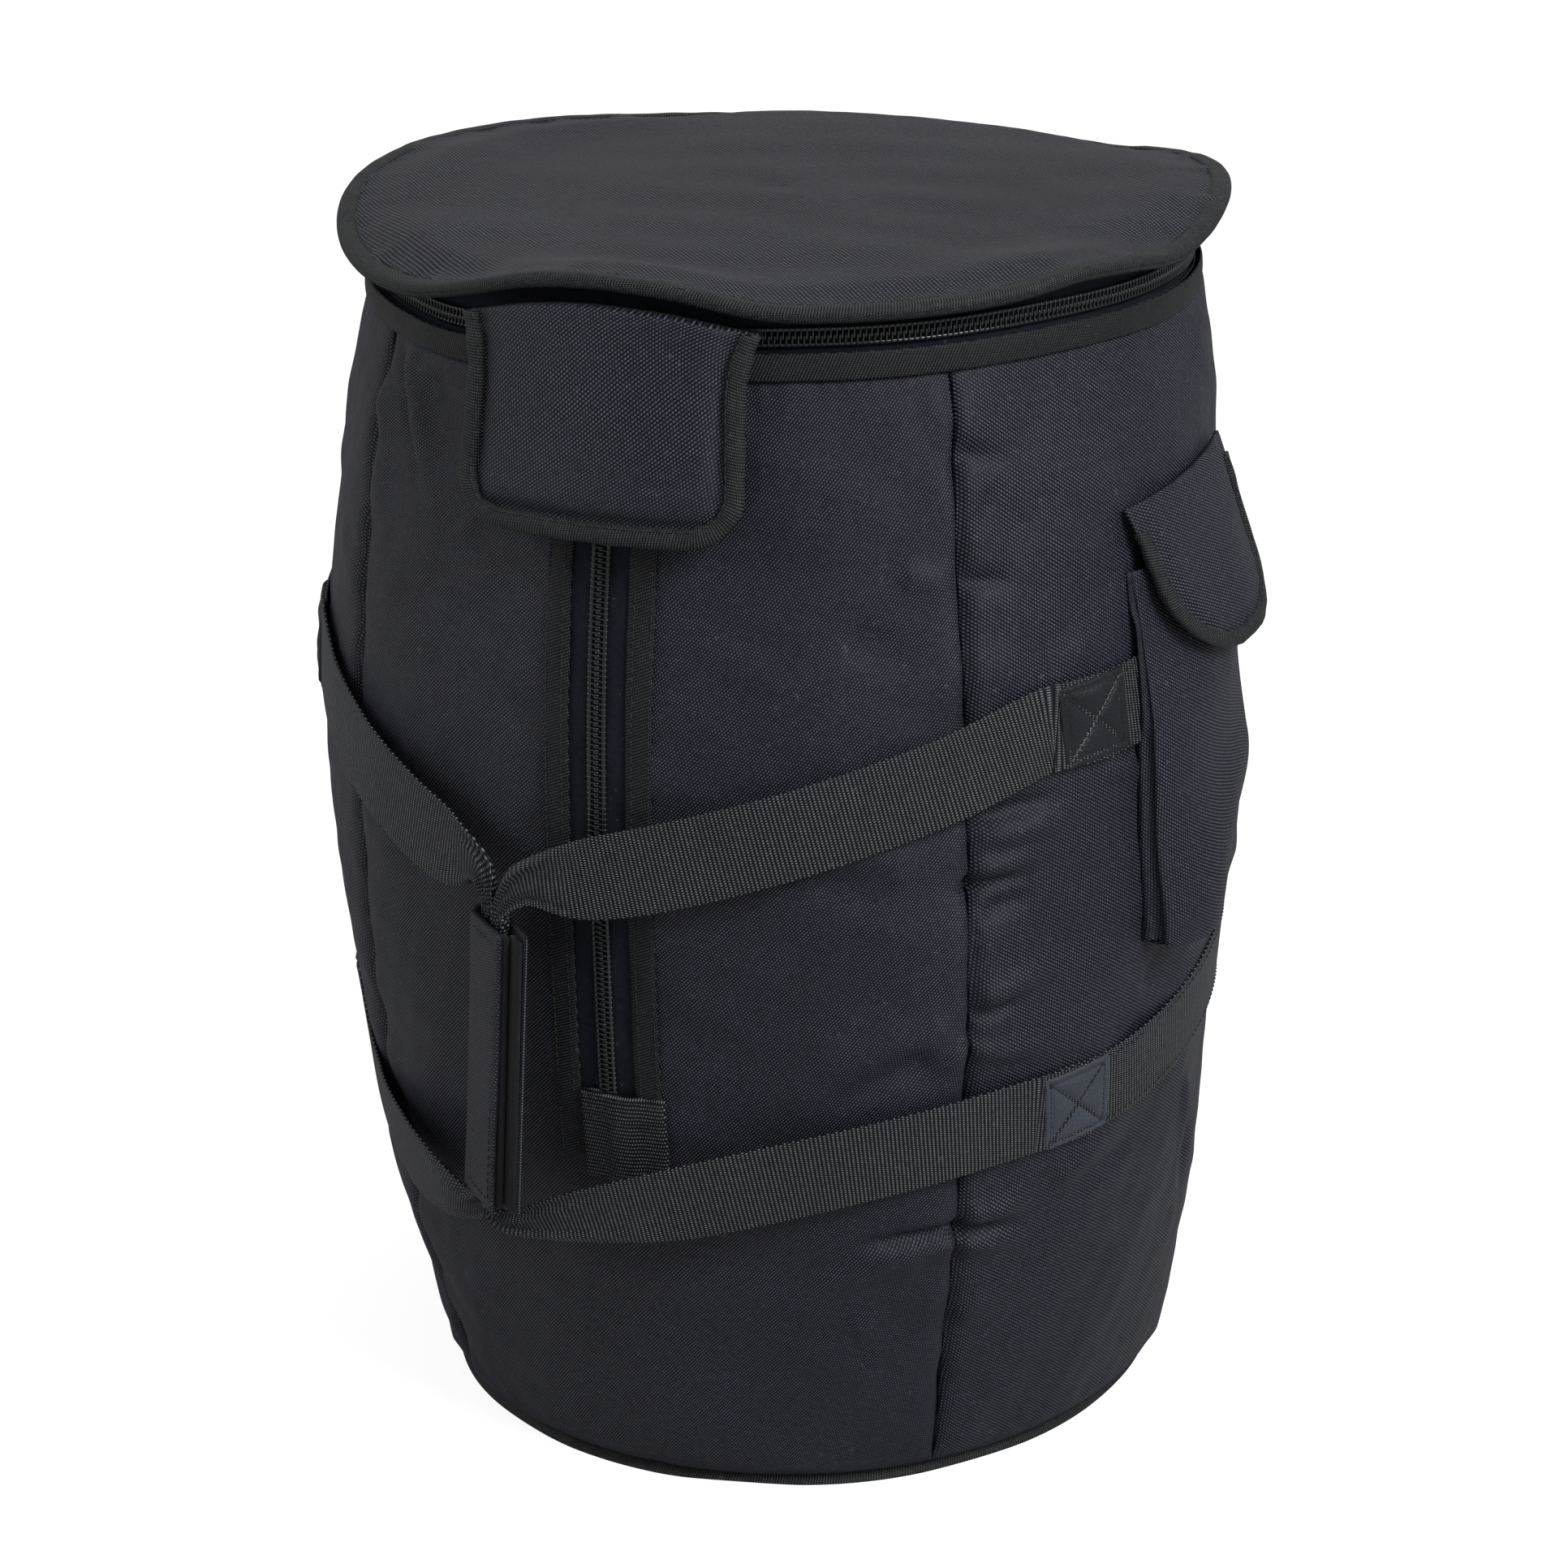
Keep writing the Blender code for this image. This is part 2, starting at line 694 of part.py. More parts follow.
def tongue_edge(half, height, corner, top):
    """Points and outward directions down the left edge, round the corners and up the right edge."""
    edge = [((-half, down), (-1.0, 0.0)) for down in spread(top, height - corner, 4)[:-1]]
    for angle in spread(0.0, math.pi / 2, 5):
        way = (-math.cos(angle), math.sin(angle))
        edge.append(((-half + corner + corner * way[0], height - corner + corner * way[1]), way))
    edge += [((across, height), (0.0, 1.0)) for across in spread(-half + corner, half - corner, 6)[1:-1]]
    for angle in spread(math.pi / 2, 0.0, 5):
        way = (math.cos(angle), math.sin(angle))
        edge.append(((half - corner + corner * way[0], height - corner + corner * way[1]), way))
    edge += [((half, down), (1.0, 0.0)) for down in spread(height - corner, top, 4)[1:]]
    return edge


def edge_binding(name, place, half, height, corner, near, far, width, top):
    """Folded tape round three sides of a tongue, with the tongue's edge in its fold."""
    sections = []
    for (across, down), way in tongue_edge(half, height, corner, top):
        def at(reach, offset):
            return place(across + reach * way[0], down + reach * way[1], offset)

        low = near - FOLD_GAP
        high = far + FOLD_GAP
        sections.append([
            at(-width, low - BINDING),
            at(FOLD_GAP, low - BINDING),
            at(FOLD_GAP + BINDING, low),
            at(FOLD_GAP + BINDING, high),
            at(FOLD_GAP, high + BINDING),
            at(-width, high + BINDING),
            at(-width, high),
            at(FOLD_GAP, high),
            at(FOLD_GAP, low),
            at(-width, low),
        ])
    return swept_body(name, "binding", sections)


def build_bib():
    """Padded flap: backing, foam and cloth, bound on three sides."""
    backing = 0.0
    foam = backing + LINING + GAP
    cover = foam + BIB_FOAM + GAP
    shape = (BIB_HALF_WIDTH, BIB_HEIGHT, BIB_CORNER)
    tongue_body("bib_backing", "lining", bib_place, *shape, backing, backing + LINING)
    tongue_body("bib_foam", "foam", bib_place, *shape, foam, foam + BIB_FOAM)
    tongue_body("bib_cover", "cloth", bib_place, *shape, cover, cover + CLOTH)
    edge_binding("bib_binding", bib_place, *shape, backing, cover + CLOTH, BIB_BINDING_WIDTH, GAP)


# Sliders

def slider_mesh(name, flanges):
    """Slider in its own frame: X along the zip, Y across it and Z out of it, from the tape's face."""
    half = SLIDER_WIDTH / 2
    floor = GAP
    under = GAP + COIL_HEIGHT + SLIDER_CLEARANCE
    over = under + SLIDER_PLATE
    wall = half - (CHAIN_WIDTH / 2 + SLIDER_CLEARANCE)
    left = [(-half, floor), (-half + wall, floor), (-half + wall, under)] if -1 in flanges else [(-half, under)]
    right = [(half - wall, under), (half - wall, floor), (half, floor)] if 1 in flanges else [(half, under)]
    profile = left + right + [
        (half, over - wall / 2), (half - wall, over), (-half + wall, over), (-half, over - wall / 2)
    ]
    sections = [[Vector((x, y, z)) for y, z in profile] for x in (-SLIDER_LENGTH / 2, SLIDER_LENGTH / 2)]
    body = swept_body(name, "metal", sections)
    bevel = body.modifiers.new("round_ends", "BEVEL")
    bevel.width = SLIDER_PLATE / 6
    bevel.segments = 1
    bevel.limit_method = "ANGLE"
    arch = swept_body(f"{name}_bridge", "metal", bridge_sections(over))
    arch.hide_render = True
    arch.display_type = "WIRE"
    join = body.modifiers.new("bridge", "BOOLEAN")
    join.operation = "UNION"
    join.object = arch
    return body, arch, over


def bridge_sections(over):
    """Square bar bent into an arch over the slider's plate."""
    half = BRIDGE_BAR / 2
    rise = BRIDGE_RISE - half
    span = BRIDGE_SPAN / 2 - half
    sunk = over - SLIDER_PLATE / 2
    path = [(-span, sunk), (-span, over + rise * 0.6), (-span + half, over + rise),
            (span - half, over + rise), (span, over + rise * 0.6), (span, sunk)]
    ways = [(1.0, 0.0), (0.92, -0.38), (0.38, -0.92), (-0.38, -0.92), (-0.92, -0.38), (-1.0, 0.0)]
    sections = []
    for (x, z), (in_x, in_z) in zip(path, ways):
        sections.append([
            Vector((x - in_x * half, -half, z - in_z * half)),
            Vector((x - in_x * half, half, z - in_z * half)),
            Vector((x + in_x * half, half, z + in_z * half)),
            Vector((x + in_x * half, -half, z + in_z * half)),
        ])
    return sections


def pull_mesh(name, over):
    """Pull tab with an eye whose end bar lies under the bridge; its turning axis is Y through the bar."""
    bar = BRIDGE_BAR
    half = PULL_WIDTH / 2
    near = -bar / 2
    far = near + PULL_LENGTH
    eye_half = BRIDGE_BAR / 2 + SLIDER_CLEARANCE
    eye_near = bar / 2
    eye_far = eye_near + PULL_EYE
    taper = half * 0.75
    outline = [(near, -half), (eye_far, -half), (far - half / 2, -taper), (far, -taper / 2),
               (far, taper / 2), (far - half / 2, taper), (eye_far, half), (near, half)]
    eye = [(eye_near, -eye_half), (eye_far, -eye_half), (eye_far, -eye_half / 2), (eye_far, -eye_half / 4),
           (eye_far, eye_half / 4), (eye_far, eye_half / 2), (eye_far, eye_half), (eye_near, eye_half)]
    low = -PULL_THICK / 2
    high = PULL_THICK / 2
    points = [Vector((x, y, z)) for z in (low, high) for x, y in outline + eye]
    size = len(outline)
    layer = 2 * size
    faces = []
    for step in range(size):
        after = (step + 1) % size
        faces.append([step, after, size + after, size + step])
        faces.append([layer + step, layer + after, layer + size + after, layer + size + step])
        faces.append([step, after, layer + after, layer + step])
        faces.append([size + step, size + after, layer + size + after, layer + size + step])
    return dressed(name, mesh_of(name, points, faces), "metal")


def place_slider(name, frame, flanges):
    """A slider and its pull, set by the frame of the zip at the slider's middle."""
    body, arch, over = slider_mesh(f"{name}_slider", flanges)
    arch.parent = body
    body.matrix_world = frame
    pull = pull_mesh(f"{name}_pull", over)
    rise = over + (BRIDGE_RISE - BRIDGE_BAR) / 2
    pull.matrix_world = frame @ Matrix.Translation((0.0, 0.0, rise))


def frame_from(origin, way, out):
    """A frame with X along way and Z along out."""
    out = out.normalized()
    way = (way - out * way.dot(out)).normalized()
    across = out.cross(way)
    columns = Matrix((way, across, out)).transposed().to_4x4()
    return Matrix.Translation(origin) @ columns


def build_sliders():
    """Two sliders that meet at the front of the mouth zip and one at the top of the front zip.

    The mouth sliders hold the body's row only, so that the lid lifts off them.
    """
    mouth = wall_radius(MOUTH_CHAIN)
    for side, name in ((-1, "mouth_left"), (1, "mouth_right")):
        angle = side * MOUTH_SLIDER_ANGLE
        frame = frame_from(turned(mouth, angle, MOUTH_CHAIN), side * along(angle), outward(angle))
        place_slider(name, frame, (-side,))
    phi = arc_angle(FRONT_SLIDER_HEIGHT)
    out = Vector((0.0, -math.cos(phi), math.sin(phi)))
    down = Vector((0.0, -math.sin(phi), -math.cos(phi)))
    place_slider("front", frame_from(on_wall(0.0, FRONT_SLIDER_HEIGHT, -GAP), down, out), (-1, 1))


# Webbing, patches and handles

def wall_out(angle, height):
    phi = arc_angle(height)
    return outward(angle) * math.cos(phi) + Vector((0.0, 0.0, math.sin(phi)))


def patch_on_wall(name, centre, offset):
    """Square of leatherette sewn over the end of a handle."""
    angle, height = centre
    half = PATCH / 2
    half_angle = half / wall_radius(height)
    angles = spread(angle - half_angle, angle + half_angle, 4)
    heights = spread(height - half, height + half, 3)
    inner = [[on_wall(a, h, offset) for a in angles] for h in heights]
    outer = [[on_wall(a, h, offset + PATCH_THICK) for a in angles] for h in heights]
    sheet_body(name, "leatherette", inner, outer)


def back_height(angle, right, left):
    """Height of the webbing sewn round the back between two patches."""
    turn = angle - right[0]
    total = 2 * math.pi + left[0] - right[0]
    share = turn / total
    level = right[1] + (left[1] - right[1]) * share
    rise = smooth(turn / BACK_RISE_ANGLE) * smooth((total - turn) / BACK_RISE_ANGLE)
    return level + BACK_RISE * rise


def back_webbing(name, right, left):
    """Webbing from under one patch round the back to under the other."""
    half_patch = PATCH / 2 / BELLY_RADIUS
    angles = spread(right[0] - half_patch, 2 * math.pi + left[0] + half_patch, 44)
    inner = []
    outer = []
    for share in (-0.5, 0.0, 0.5):
        heights = [back_height(angle, right, left) + share * WEBBING for angle in angles]
        inner.append([on_wall(a, h, SEAM_GAP) for a, h in zip(angles, heights)])
        outer.append([on_wall(a, h, SEAM_GAP + WEBBING_THICK) for a, h in zip(angles, heights)])
    sheet_body(name, "webbing", inner, outer)


def curve_through(keys, count):
    """Even steps of a smooth curve through key values, which may be vectors or numbers."""
    values = []
    for index in range(len(keys) - 1):
        before = keys[max(index - 1, 0)]
        first = keys[index]
        last = keys[index + 1]
        after = keys[min(index + 2, len(keys) - 1)]
        for step in range(count):
            t = step / count
            a = (last - before) * 0.5
            b = (after - first) * 0.5
            values.append(
                first * (2 * t ** 3 - 3 * t ** 2 + 1) + last * (3 * t ** 2 - 2 * t ** 3)
                + a * (t ** 3 - 2 * t ** 2 + t) + b * (t ** 3 - t ** 2)
            )
    values.append(keys[-1])
    return values


def grip_point(depth, height, out=0.0):
    """A place in the grip sleeve: depth from its fold towards its opening, and out of its middle plane."""
    fold = turned(GRIP_RADIUS, GRIP_ANGLE, height)
    fold += GRIP_LEAN * (height - GRIP_TOP + GRIP_LENGTH / 2) * along(GRIP_ANGLE)
    return fold + depth * outward(GRIP_FACING) - out * along(GRIP_FACING)


# Legs of a handle from its patch to the grip: share of the way round, of the way down and of the standoff,
# then the share of the change from flat to gathered webbing
UPPER_LEG_SHARES = (
    (0.0, 0.0, 0.0, 0.0),
    (0.05, 0.02, 0.0, 0.0),
    (0.24, 0.26, 0.06, 0.0),
    (0.48, 0.52, 0.24, 0.0),
    (0.70, 0.76, 0.52, 0.0),
    (0.86, 0.92, 0.80, 0.15),
    (0.96, 1.0, 0.97, 0.75),
)
LOWER_LEG_SHARES = (
    (0.0, 0.0, 0.0, 0.0),
    (0.05, 0.01, 0.0, 0.0),
    (0.24, 0.17, 0.08, 0.0),
    (0.46, 0.44, 0.28, 0.0),
    (0.68, 0.77, 0.54, 0.10),
    (0.85, 0.97, 0.80, 0.50),
    (0.96, 1.0, 0.97, 0.92),
)


def leg_stations(patch, edge, depth, level, shares):
    """Stations of one leg: place, outward direction and gathering, from its patch to the grip."""
    end = grip_point(depth, level)
    end_angle = math.atan2(end.x, -end.y)
    base = SEAM_GAP + HANDLE_LIFT + WEBBING_THICK / 2
    reach = math.hypot(end.x, end.y) - wall_radius(level) - base
    stations = []
    for round_share, down_share, out_share, gather in shares:
        angle = edge + (end_angle - edge) * round_share
        height = patch[1] + (level - patch[1]) * down_share
        place = on_wall(angle, height, base + reach * out_share)
        stations.append((place, wall_out(angle, height), gather))
    return stations


def handle_stations(upper, lower, side, depth):
    """All stations of a handle, from its upper patch through the grip to its lower patch."""
    free = PATCH / 2 + 2 * SEAM_GAP
    across = -along(GRIP_FACING)
    lead = GATHERED_WIDTH / 2
    low = GRIP_TOP - GRIP_LENGTH
    upper_edge = upper[0] - side * free / wall_radius(upper[1])
    lower_edge = lower[0] - side * free / wall_radius(lower[1])
    stations = leg_stations(upper, upper_edge, depth, GRIP_TOP + WEBBING / 2, UPPER_LEG_SHARES)
    for level in (GRIP_TOP + lead, GRIP_TOP, GRIP_TOP - lead, low + lead, low, low - lead):
        stations.append((grip_point(depth, level), across, 1.0))
    last = leg_stations(lower, lower_edge, depth, low - WEBBING / 6, LOWER_LEG_SHARES)
    return stations + last[::-1], -side * along(upper_edge), side * along(lower_edge)


def eased_end(section, place, hinge_line, out, way):
    """Corners that stand proud of the hinge line start later along the strap, so that it swings out freely."""
    eased = []
    for corner in section:
        beside = corner - place
        beside -= hinge_line * beside.dot(hinge_line)
        proud = max(beside.dot(out) - SEAM_GAP, 0.0)
        eased.append(corner + way * proud)
    return eased


def build_handle(name, upper, lower, side, depth):
    """A webbing handle: flat at its patches, gathered where it runs through the grip sleeve."""
    stations, first, last = handle_stations(upper, lower, side, depth)
    places = curve_through([station[0] for station in stations], 3)
    outs = curve_through([station[1] for station in stations], 3)
    gathers = curve_through([station[2] for station in stations], 3)
    ways = [after - before for before, after in zip(places, places[2:])]
    sections = []
    for place, way, out, gather in zip(places, [first] + ways + [last], outs, gathers):
        out = (out - way * out.dot(way) / way.length_squared).normalized()
        wide = out.cross(way).normalized()
        gather = min(max(gather, 0.0), 1.0)
        half = (WEBBING + (GATHERED_WIDTH - WEBBING) * gather) / 2
        thick = (WEBBING_THICK + (GATHERED_THICK - WEBBING_THICK) * gather) / 2
        sections.append([
            place + wide * half + out * thick, place - wide * half + out * thick,
            place - wide * half - out * thick, place + wide * half - out * thick,
        ])
    hinge_line = (places[-1] - places[0]).normalized()
    sections[0] = eased_end(sections[0], places[0], hinge_line, outs[0], first)
    sections[-1] = eased_end(sections[-1], places[-1], hinge_line, outs[-1], -last)
    return swept_body(name, "webbing", sections)


def grip_sheet(name, finish, profile, low, high):
    """An upright piece of the grip from a plan outline of depths and distances from its middle plane."""
    sections = [[grip_point(depth, level, out) for depth, out in profile] for level in (low, high)]
    return swept_body(name, finish, sections)


def build_grip():
    """Sleeve folded round both handles, its flap and the hook and loop strips that close them."""
    low = GRIP_TOP - GRIP_LENGTH
    half = GRIP_SPACE / 2
    outer = half + GRIP_PANEL
    fold = -GRIP_PANEL - half / 2
    sleeve = [
        (GRIP_DEPTH, -outer), (GRIP_DEPTH, -half), (0.0, -half), (-half / 2, -half / 2),
        (-half / 2, half - GAP), (fold, half - GAP), (fold, -half / 2), (-half / 2, -outer),
    ]
    grip_sheet("grip_sleeve", "cloth", sleeve, low, GRIP_TOP)
    flap_start = -half / 2
    flap_end = GRIP_DEPTH - HOOK_WIDTH * 0.6
    inset = GRIP_LENGTH * 0.01
    flap = [(flap_start, half), (flap_end, half), (flap_end, outer), (flap_start, outer)]
    grip_sheet("grip_flap", "cloth", flap, low + inset, GRIP_TOP - inset)
    hook_low = low + 2 * inset
    hook_high = GRIP_TOP - 2 * inset
    hook = [(flap_end - HOOK_WIDTH, half - GAP - HOOK_THICK), (flap_end - GAP, half - GAP - HOOK_THICK),
            (flap_end - GAP, half - GAP), (flap_end - HOOK_WIDTH, half - GAP)]
    grip_sheet("grip_hook_strip", "hook", hook, hook_low, hook_high)
    loop_end = GRIP_DEPTH - GAP
    loop = [(loop_end - HOOK_WIDTH, -half + GAP), (loop_end, -half + GAP),
            (loop_end, -half + GAP + HOOK_THICK), (loop_end - HOOK_WIDTH, -half + GAP + HOOK_THICK)]
    grip_sheet("grip_loop_strip", "hook", loop, hook_low, hook_high)


def build_handles():
    """Patches, the webbing round the back, the two handles and the grip."""
    over = SEAM_GAP + WEBBING_THICK + GAP
    patch_on_wall("upper_right_patch", RIGHT_UPPER, over)
    patch_on_wall("lower_right_patch", RIGHT_LOWER, over)
    patch_on_wall("upper_left_patch", LEFT_UPPER, over)
    patch_on_wall("lower_left_patch", LEFT_LOWER, over)
    back_webbing("upper_back_webbing", RIGHT_UPPER, LEFT_UPPER)
    back_webbing("lower_back_webbing", RIGHT_LOWER, LEFT_LOWER)
    build_handle("right_handle", RIGHT_UPPER, RIGHT_LOWER, 1, GRIP_DEPTH - GATHERED_WIDTH / 2 - HOOK_THICK)
    build_handle("left_handle", LEFT_UPPER, LEFT_LOWER, -1, GATHERED_WIDTH / 2 + HOOK_THICK)
    build_grip()


# Side pocket

def pocket_seat(height):
    """Offset of the pouch's edge from the wall; it steps over the webbing that runs under it."""
    webbing = back_height(POCKET_ANGLE, RIGHT_UPPER, LEFT_UPPER)
    near = abs(height - webbing) < WEBBING / 2 + BACK_RISE
    return (SEAM_GAP + WEBBING_THICK if near else 0.0) + SEAM_GAP


def pocket_depth(height):
    """How far the pouch's front stands off the wall; it is fullest a third of the way up."""
    rise = (height - POCKET_BOTTOM) / (POCKET_TOP - POCKET_BOTTOM)
    if rise < 1 / 3:
        return POCKET_FOOT_DEPTH + (POCKET_DEPTH - POCKET_FOOT_DEPTH) * math.sin(math.pi / 2 * 3 * rise)
    fall = smooth((rise - 1 / 3) * 3 / 2)
    return POCKET_DEPTH + (POCKET_MOUTH_DEPTH - POCKET_DEPTH) * fall


def pocket_section(height, inset):
    """Plan of the pouch at one height: a wide arch standing on the wall, drawn in by the inset."""
    rise = (height - POCKET_BOTTOM) / (POCKET_TOP - POCKET_BOTTOM)
    half = (POCKET_WIDTH / 2 - inset) * (0.92 + 0.08 * smooth(rise * 3))
    seat = pocket_seat(height)
    depth = max(pocket_depth(height) - inset - seat, SEAM_GAP)
    points = []
    for turn in spread(0.0, math.pi, 10):
        across = -math.copysign(abs(math.cos(turn)) ** 0.6, math.cos(turn)) * half
        points.append(on_wall(
            POCKET_ANGLE + across / wall_radius(height), height, seat + depth * math.sin(turn) ** 0.55))
    return points


def build_pocket():
    """Pouch with its open top, and the flap that covers it."""
    heights = spread(POCKET_BOTTOM, POCKET_TOP, 12)
    outer = [pocket_section(height, 0.0) for height in heights]
    inner = [pocket_section(height, POCKET_CLOTH) for height in heights]
    sheet_body("pocket_pouch", "cloth", inner, outer)
    build_flap()
    build_closure()


def flap_middle(across, down):
    """A place on the back of the flap: it leaves the wall, clears the pouch's mouth and hangs down."""
    share = down / FLAP_DROP
    side = across * math.cos(FLAP_TILT) + down * math.sin(FLAP_TILT)
    height = FLAP_HEIGHT - down * math.cos(FLAP_TILT) + across * math.sin(FLAP_TILT)
    bow = 1 - 0.15 * (2 * across / FLAP_WIDTH) ** 2
    out = SEAM_GAP + BINDING + FOLD_GAP + FLAP_REACH * bow * smooth(share * 2.2)
    return on_wall(POCKET_ANGLE + side / wall_radius(height), height, out)


def flap_place(across, down, offset):
    """A place at this offset out of the flap's back."""
    step = FLAP_CLOTH
    over = flap_middle(across + step, down) - flap_middle(across - step, down)
    below = flap_middle(across, down + step) - flap_middle(across, down - step)
    return flap_middle(across, down) + below.cross(over).normalized() * offset


def build_flap():
    shape = (FLAP_WIDTH / 2, FLAP_DROP, FLAP_CORNER)
    tongue_body("pocket_flap", "cloth", flap_place, *shape, 0.0, FLAP_CLOTH, rows=12)
    edge_binding("pocket_flap_binding", flap_place, *shape, 0.0, FLAP_CLOTH, FLAP_BAND, FLAP_DROP * 0.14)


def build_closure():
    """Hook strip under the flap and the loop strip that it meets on the pouch's front."""
    acrosses = spread(-CLOSURE_WIDTH / 2, CLOSURE_WIDTH / 2, 4)
    top = POCKET_TOP - CLOSURE_DROP + CLOSURE_HEIGHT
    heights = spread(top - CLOSURE_HEIGHT, top, 3)
    loop = [
        [[on_wall(POCKET_ANGLE + across / wall_radius(height), height, pocket_depth(height) + lift)
          for across in acrosses] for height in heights]
        for lift in (GAP, GAP + HOOK_THICK)
    ]
    sheet_body("pocket_loop_strip", "hook", *loop)
    downs = spread(CLOSURE_OFFSET, CLOSURE_OFFSET + CLOSURE_HEIGHT, 3)
    hook = [
        [[flap_place(across, down, -lift) for across in acrosses] for down in downs]
        for lift in (GAP, GAP + HOOK_THICK)
    ]
    sheet_body("pocket_hook_strip", "hook", *hook)


def clear_scene():
    for obj in list(bpy.data.objects):
        bpy.data.objects.remove(obj)


def main():
    clear_scene()
    build_wall()
    build_base()
    build_mouth_zip()
    build_front_zip()
    build_lid()
    build_hinge_strip()
    build_bib()
    build_sliders()
    build_handles()
    build_pocket()


main()
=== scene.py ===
"""Looks of a padded barrel bag with a zipped round lid, a front zip, a flapped side pocket and webbing handles.

Lengths are metres in the CAD's own frame: the bag stands on z = 0 with its axis on Z and its front towards -Y.
Angles round the bag start at the front and grow towards the right side. Every surface is a function of two
parameters worked out on a numpy grid, or a profile carried along a path.
"""

import logging
import math
from dataclasses import dataclass, field, replace
from enum import Enum
from typing import Callable, Optional, Sequence

import bpy
import numpy as np
from mathutils import Matrix, Vector


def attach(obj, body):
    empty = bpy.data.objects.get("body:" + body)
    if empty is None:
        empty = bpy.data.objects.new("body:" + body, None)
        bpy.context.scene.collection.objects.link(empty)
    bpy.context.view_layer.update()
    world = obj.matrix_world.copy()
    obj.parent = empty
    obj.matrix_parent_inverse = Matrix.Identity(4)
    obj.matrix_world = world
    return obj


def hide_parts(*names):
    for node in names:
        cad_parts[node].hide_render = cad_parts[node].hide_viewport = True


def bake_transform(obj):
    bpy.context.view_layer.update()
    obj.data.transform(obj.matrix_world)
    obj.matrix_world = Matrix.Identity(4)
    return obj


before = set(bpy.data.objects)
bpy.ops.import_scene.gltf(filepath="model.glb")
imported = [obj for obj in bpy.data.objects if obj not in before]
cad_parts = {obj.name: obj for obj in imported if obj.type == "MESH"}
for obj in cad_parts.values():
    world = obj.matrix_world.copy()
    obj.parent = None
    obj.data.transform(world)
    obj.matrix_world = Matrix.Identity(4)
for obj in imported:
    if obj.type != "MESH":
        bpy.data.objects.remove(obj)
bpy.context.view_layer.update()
log = logging.getLogger("bag")
Array = np.ndarray
Place = Callable[[Array, Array, Array], Array]
Spot = tuple[float, float]
Spots = tuple[Spot, ...]
Rows = tuple[tuple[float, ...], ...]
Colour = tuple[float, float, float]
Socket = bpy.types.NodeSocket
UV_NAME = "weave"


# Small helpers on whole arrays


def smooth(share: Array) -> Array:
    """Smooth step: 3s^2 - 2s^3 of the share held between 0 and 1."""
    held = np.clip(share, 0.0, 1.0)
    return held * held * (3 - 2 * held)


def bump(value: Array, middle: float, reach: float) -> Array:
    """Bell curve: e to the minus squared distance from the middle over the reach."""
    return np.exp(-(((value - middle) / reach) ** 2))


def eased_span(first: float, last: float, count: int, edge: float) -> Array:
    """Even values from first to last, with three closer ones inside each end for a rounded edge.

    Args:
        first: Lowest value.
        last: Highest value.
        count: Number of even steps between the rounded edges.
        edge: Width of each rounded edge.

    Returns:
        The values in order.
    """
    near = edge * np.array([0.0, 0.12, 0.45])
    return np.concatenate([first + near, np.linspace(first + edge, last - edge, count), (last - near)[::-1]])


def unit(vectors: Array) -> Array:
    """Each vector divided by its own length."""
    return vectors / np.maximum(np.linalg.norm(vectors, axis=-1, keepdims=True), 1e-12)


def matched(*values: Array) -> list[Array]:
    """The values as arrays of floats of one common shape."""
    return np.broadcast_arrays(*[np.asarray(value, float) for value in values])


def pairs(first: Array, second: Array) -> Array:
    """Two grids, matched in shape, as pairs on a last axis."""
    return np.stack(np.broadcast_arrays(first, second), -1)


def whole_turn(count: int) -> Array:
    """Even angles once round the bag from its back, without the last that would meet the first."""
    return np.linspace(-math.pi, math.pi, count + 1)[:-1]


def wrapped(angle: Array) -> Array:
    """The angle brought between minus and plus half a turn."""
    return (np.asarray(angle) + math.pi) % math.tau - math.pi


def curve_through(keys: Array, count: int) -> Array:
    """Points of a smooth curve through key rows: cubic spans whose slopes are half the step between neighbours.

    Args:
        keys: Key values, one row each.
        count: Steps in each span.

    Returns:
        The rows of the curve, ends included.
    """
    keys = np.asarray(keys, float)
    padded = np.concatenate([keys[:1], keys, keys[-1:]])
    before, first, last, after = padded[:-3], padded[1:-2], padded[2:-1], padded[3:]
    t = (np.arange(count) / count)[None, :, None]
    a = ((last - before) * 0.5)[:, None]
    b = ((after - first) * 0.5)[:, None]
    spans = (
        first[:, None] * (2 * t**3 - 3 * t**2 + 1)
        + last[:, None] * (3 * t**2 - 2 * t**3)
        + a * (t**3 - 2 * t**2 + t)
        + b * (t**3 - t**2)
    )
    return np.concatenate([spans.reshape(-1, keys.shape[1]), keys[-1:]])


def even_steps(path: Array, pitch: float) -> Array:
    """The path walked again at an even pitch of its first three columns, with the others carried along."""
    reach = path_length(path[:, :3])
    stops = np.linspace(0.0, reach[-1], max(int(round(reach[-1] / pitch)), 1) + 1)
    return np.stack([np.interp(stops, reach, path[:, axis]) for axis in range(path.shape[1])], axis=1)


def round_curve(keys: Sequence[Spot], angle: Array) -> Array:
    """A periodic smooth curve through given degrees and values, read at each angle."""
    own = np.array(keys)
    dense = curve_through(np.concatenate([own[-2:] - [360.0, 0.0], own, own[:2] + [360.0, 0.0]]), 12)
    return np.interp(np.degrees(wrapped(angle)), dense[:, 0], dense[:, 1])


def path_length(path: Array) -> Array:
    """Distance walked to each point of a path."""
    return np.concatenate([[0.0], np.cumsum(np.linalg.norm(np.diff(path, axis=0), axis=1))])


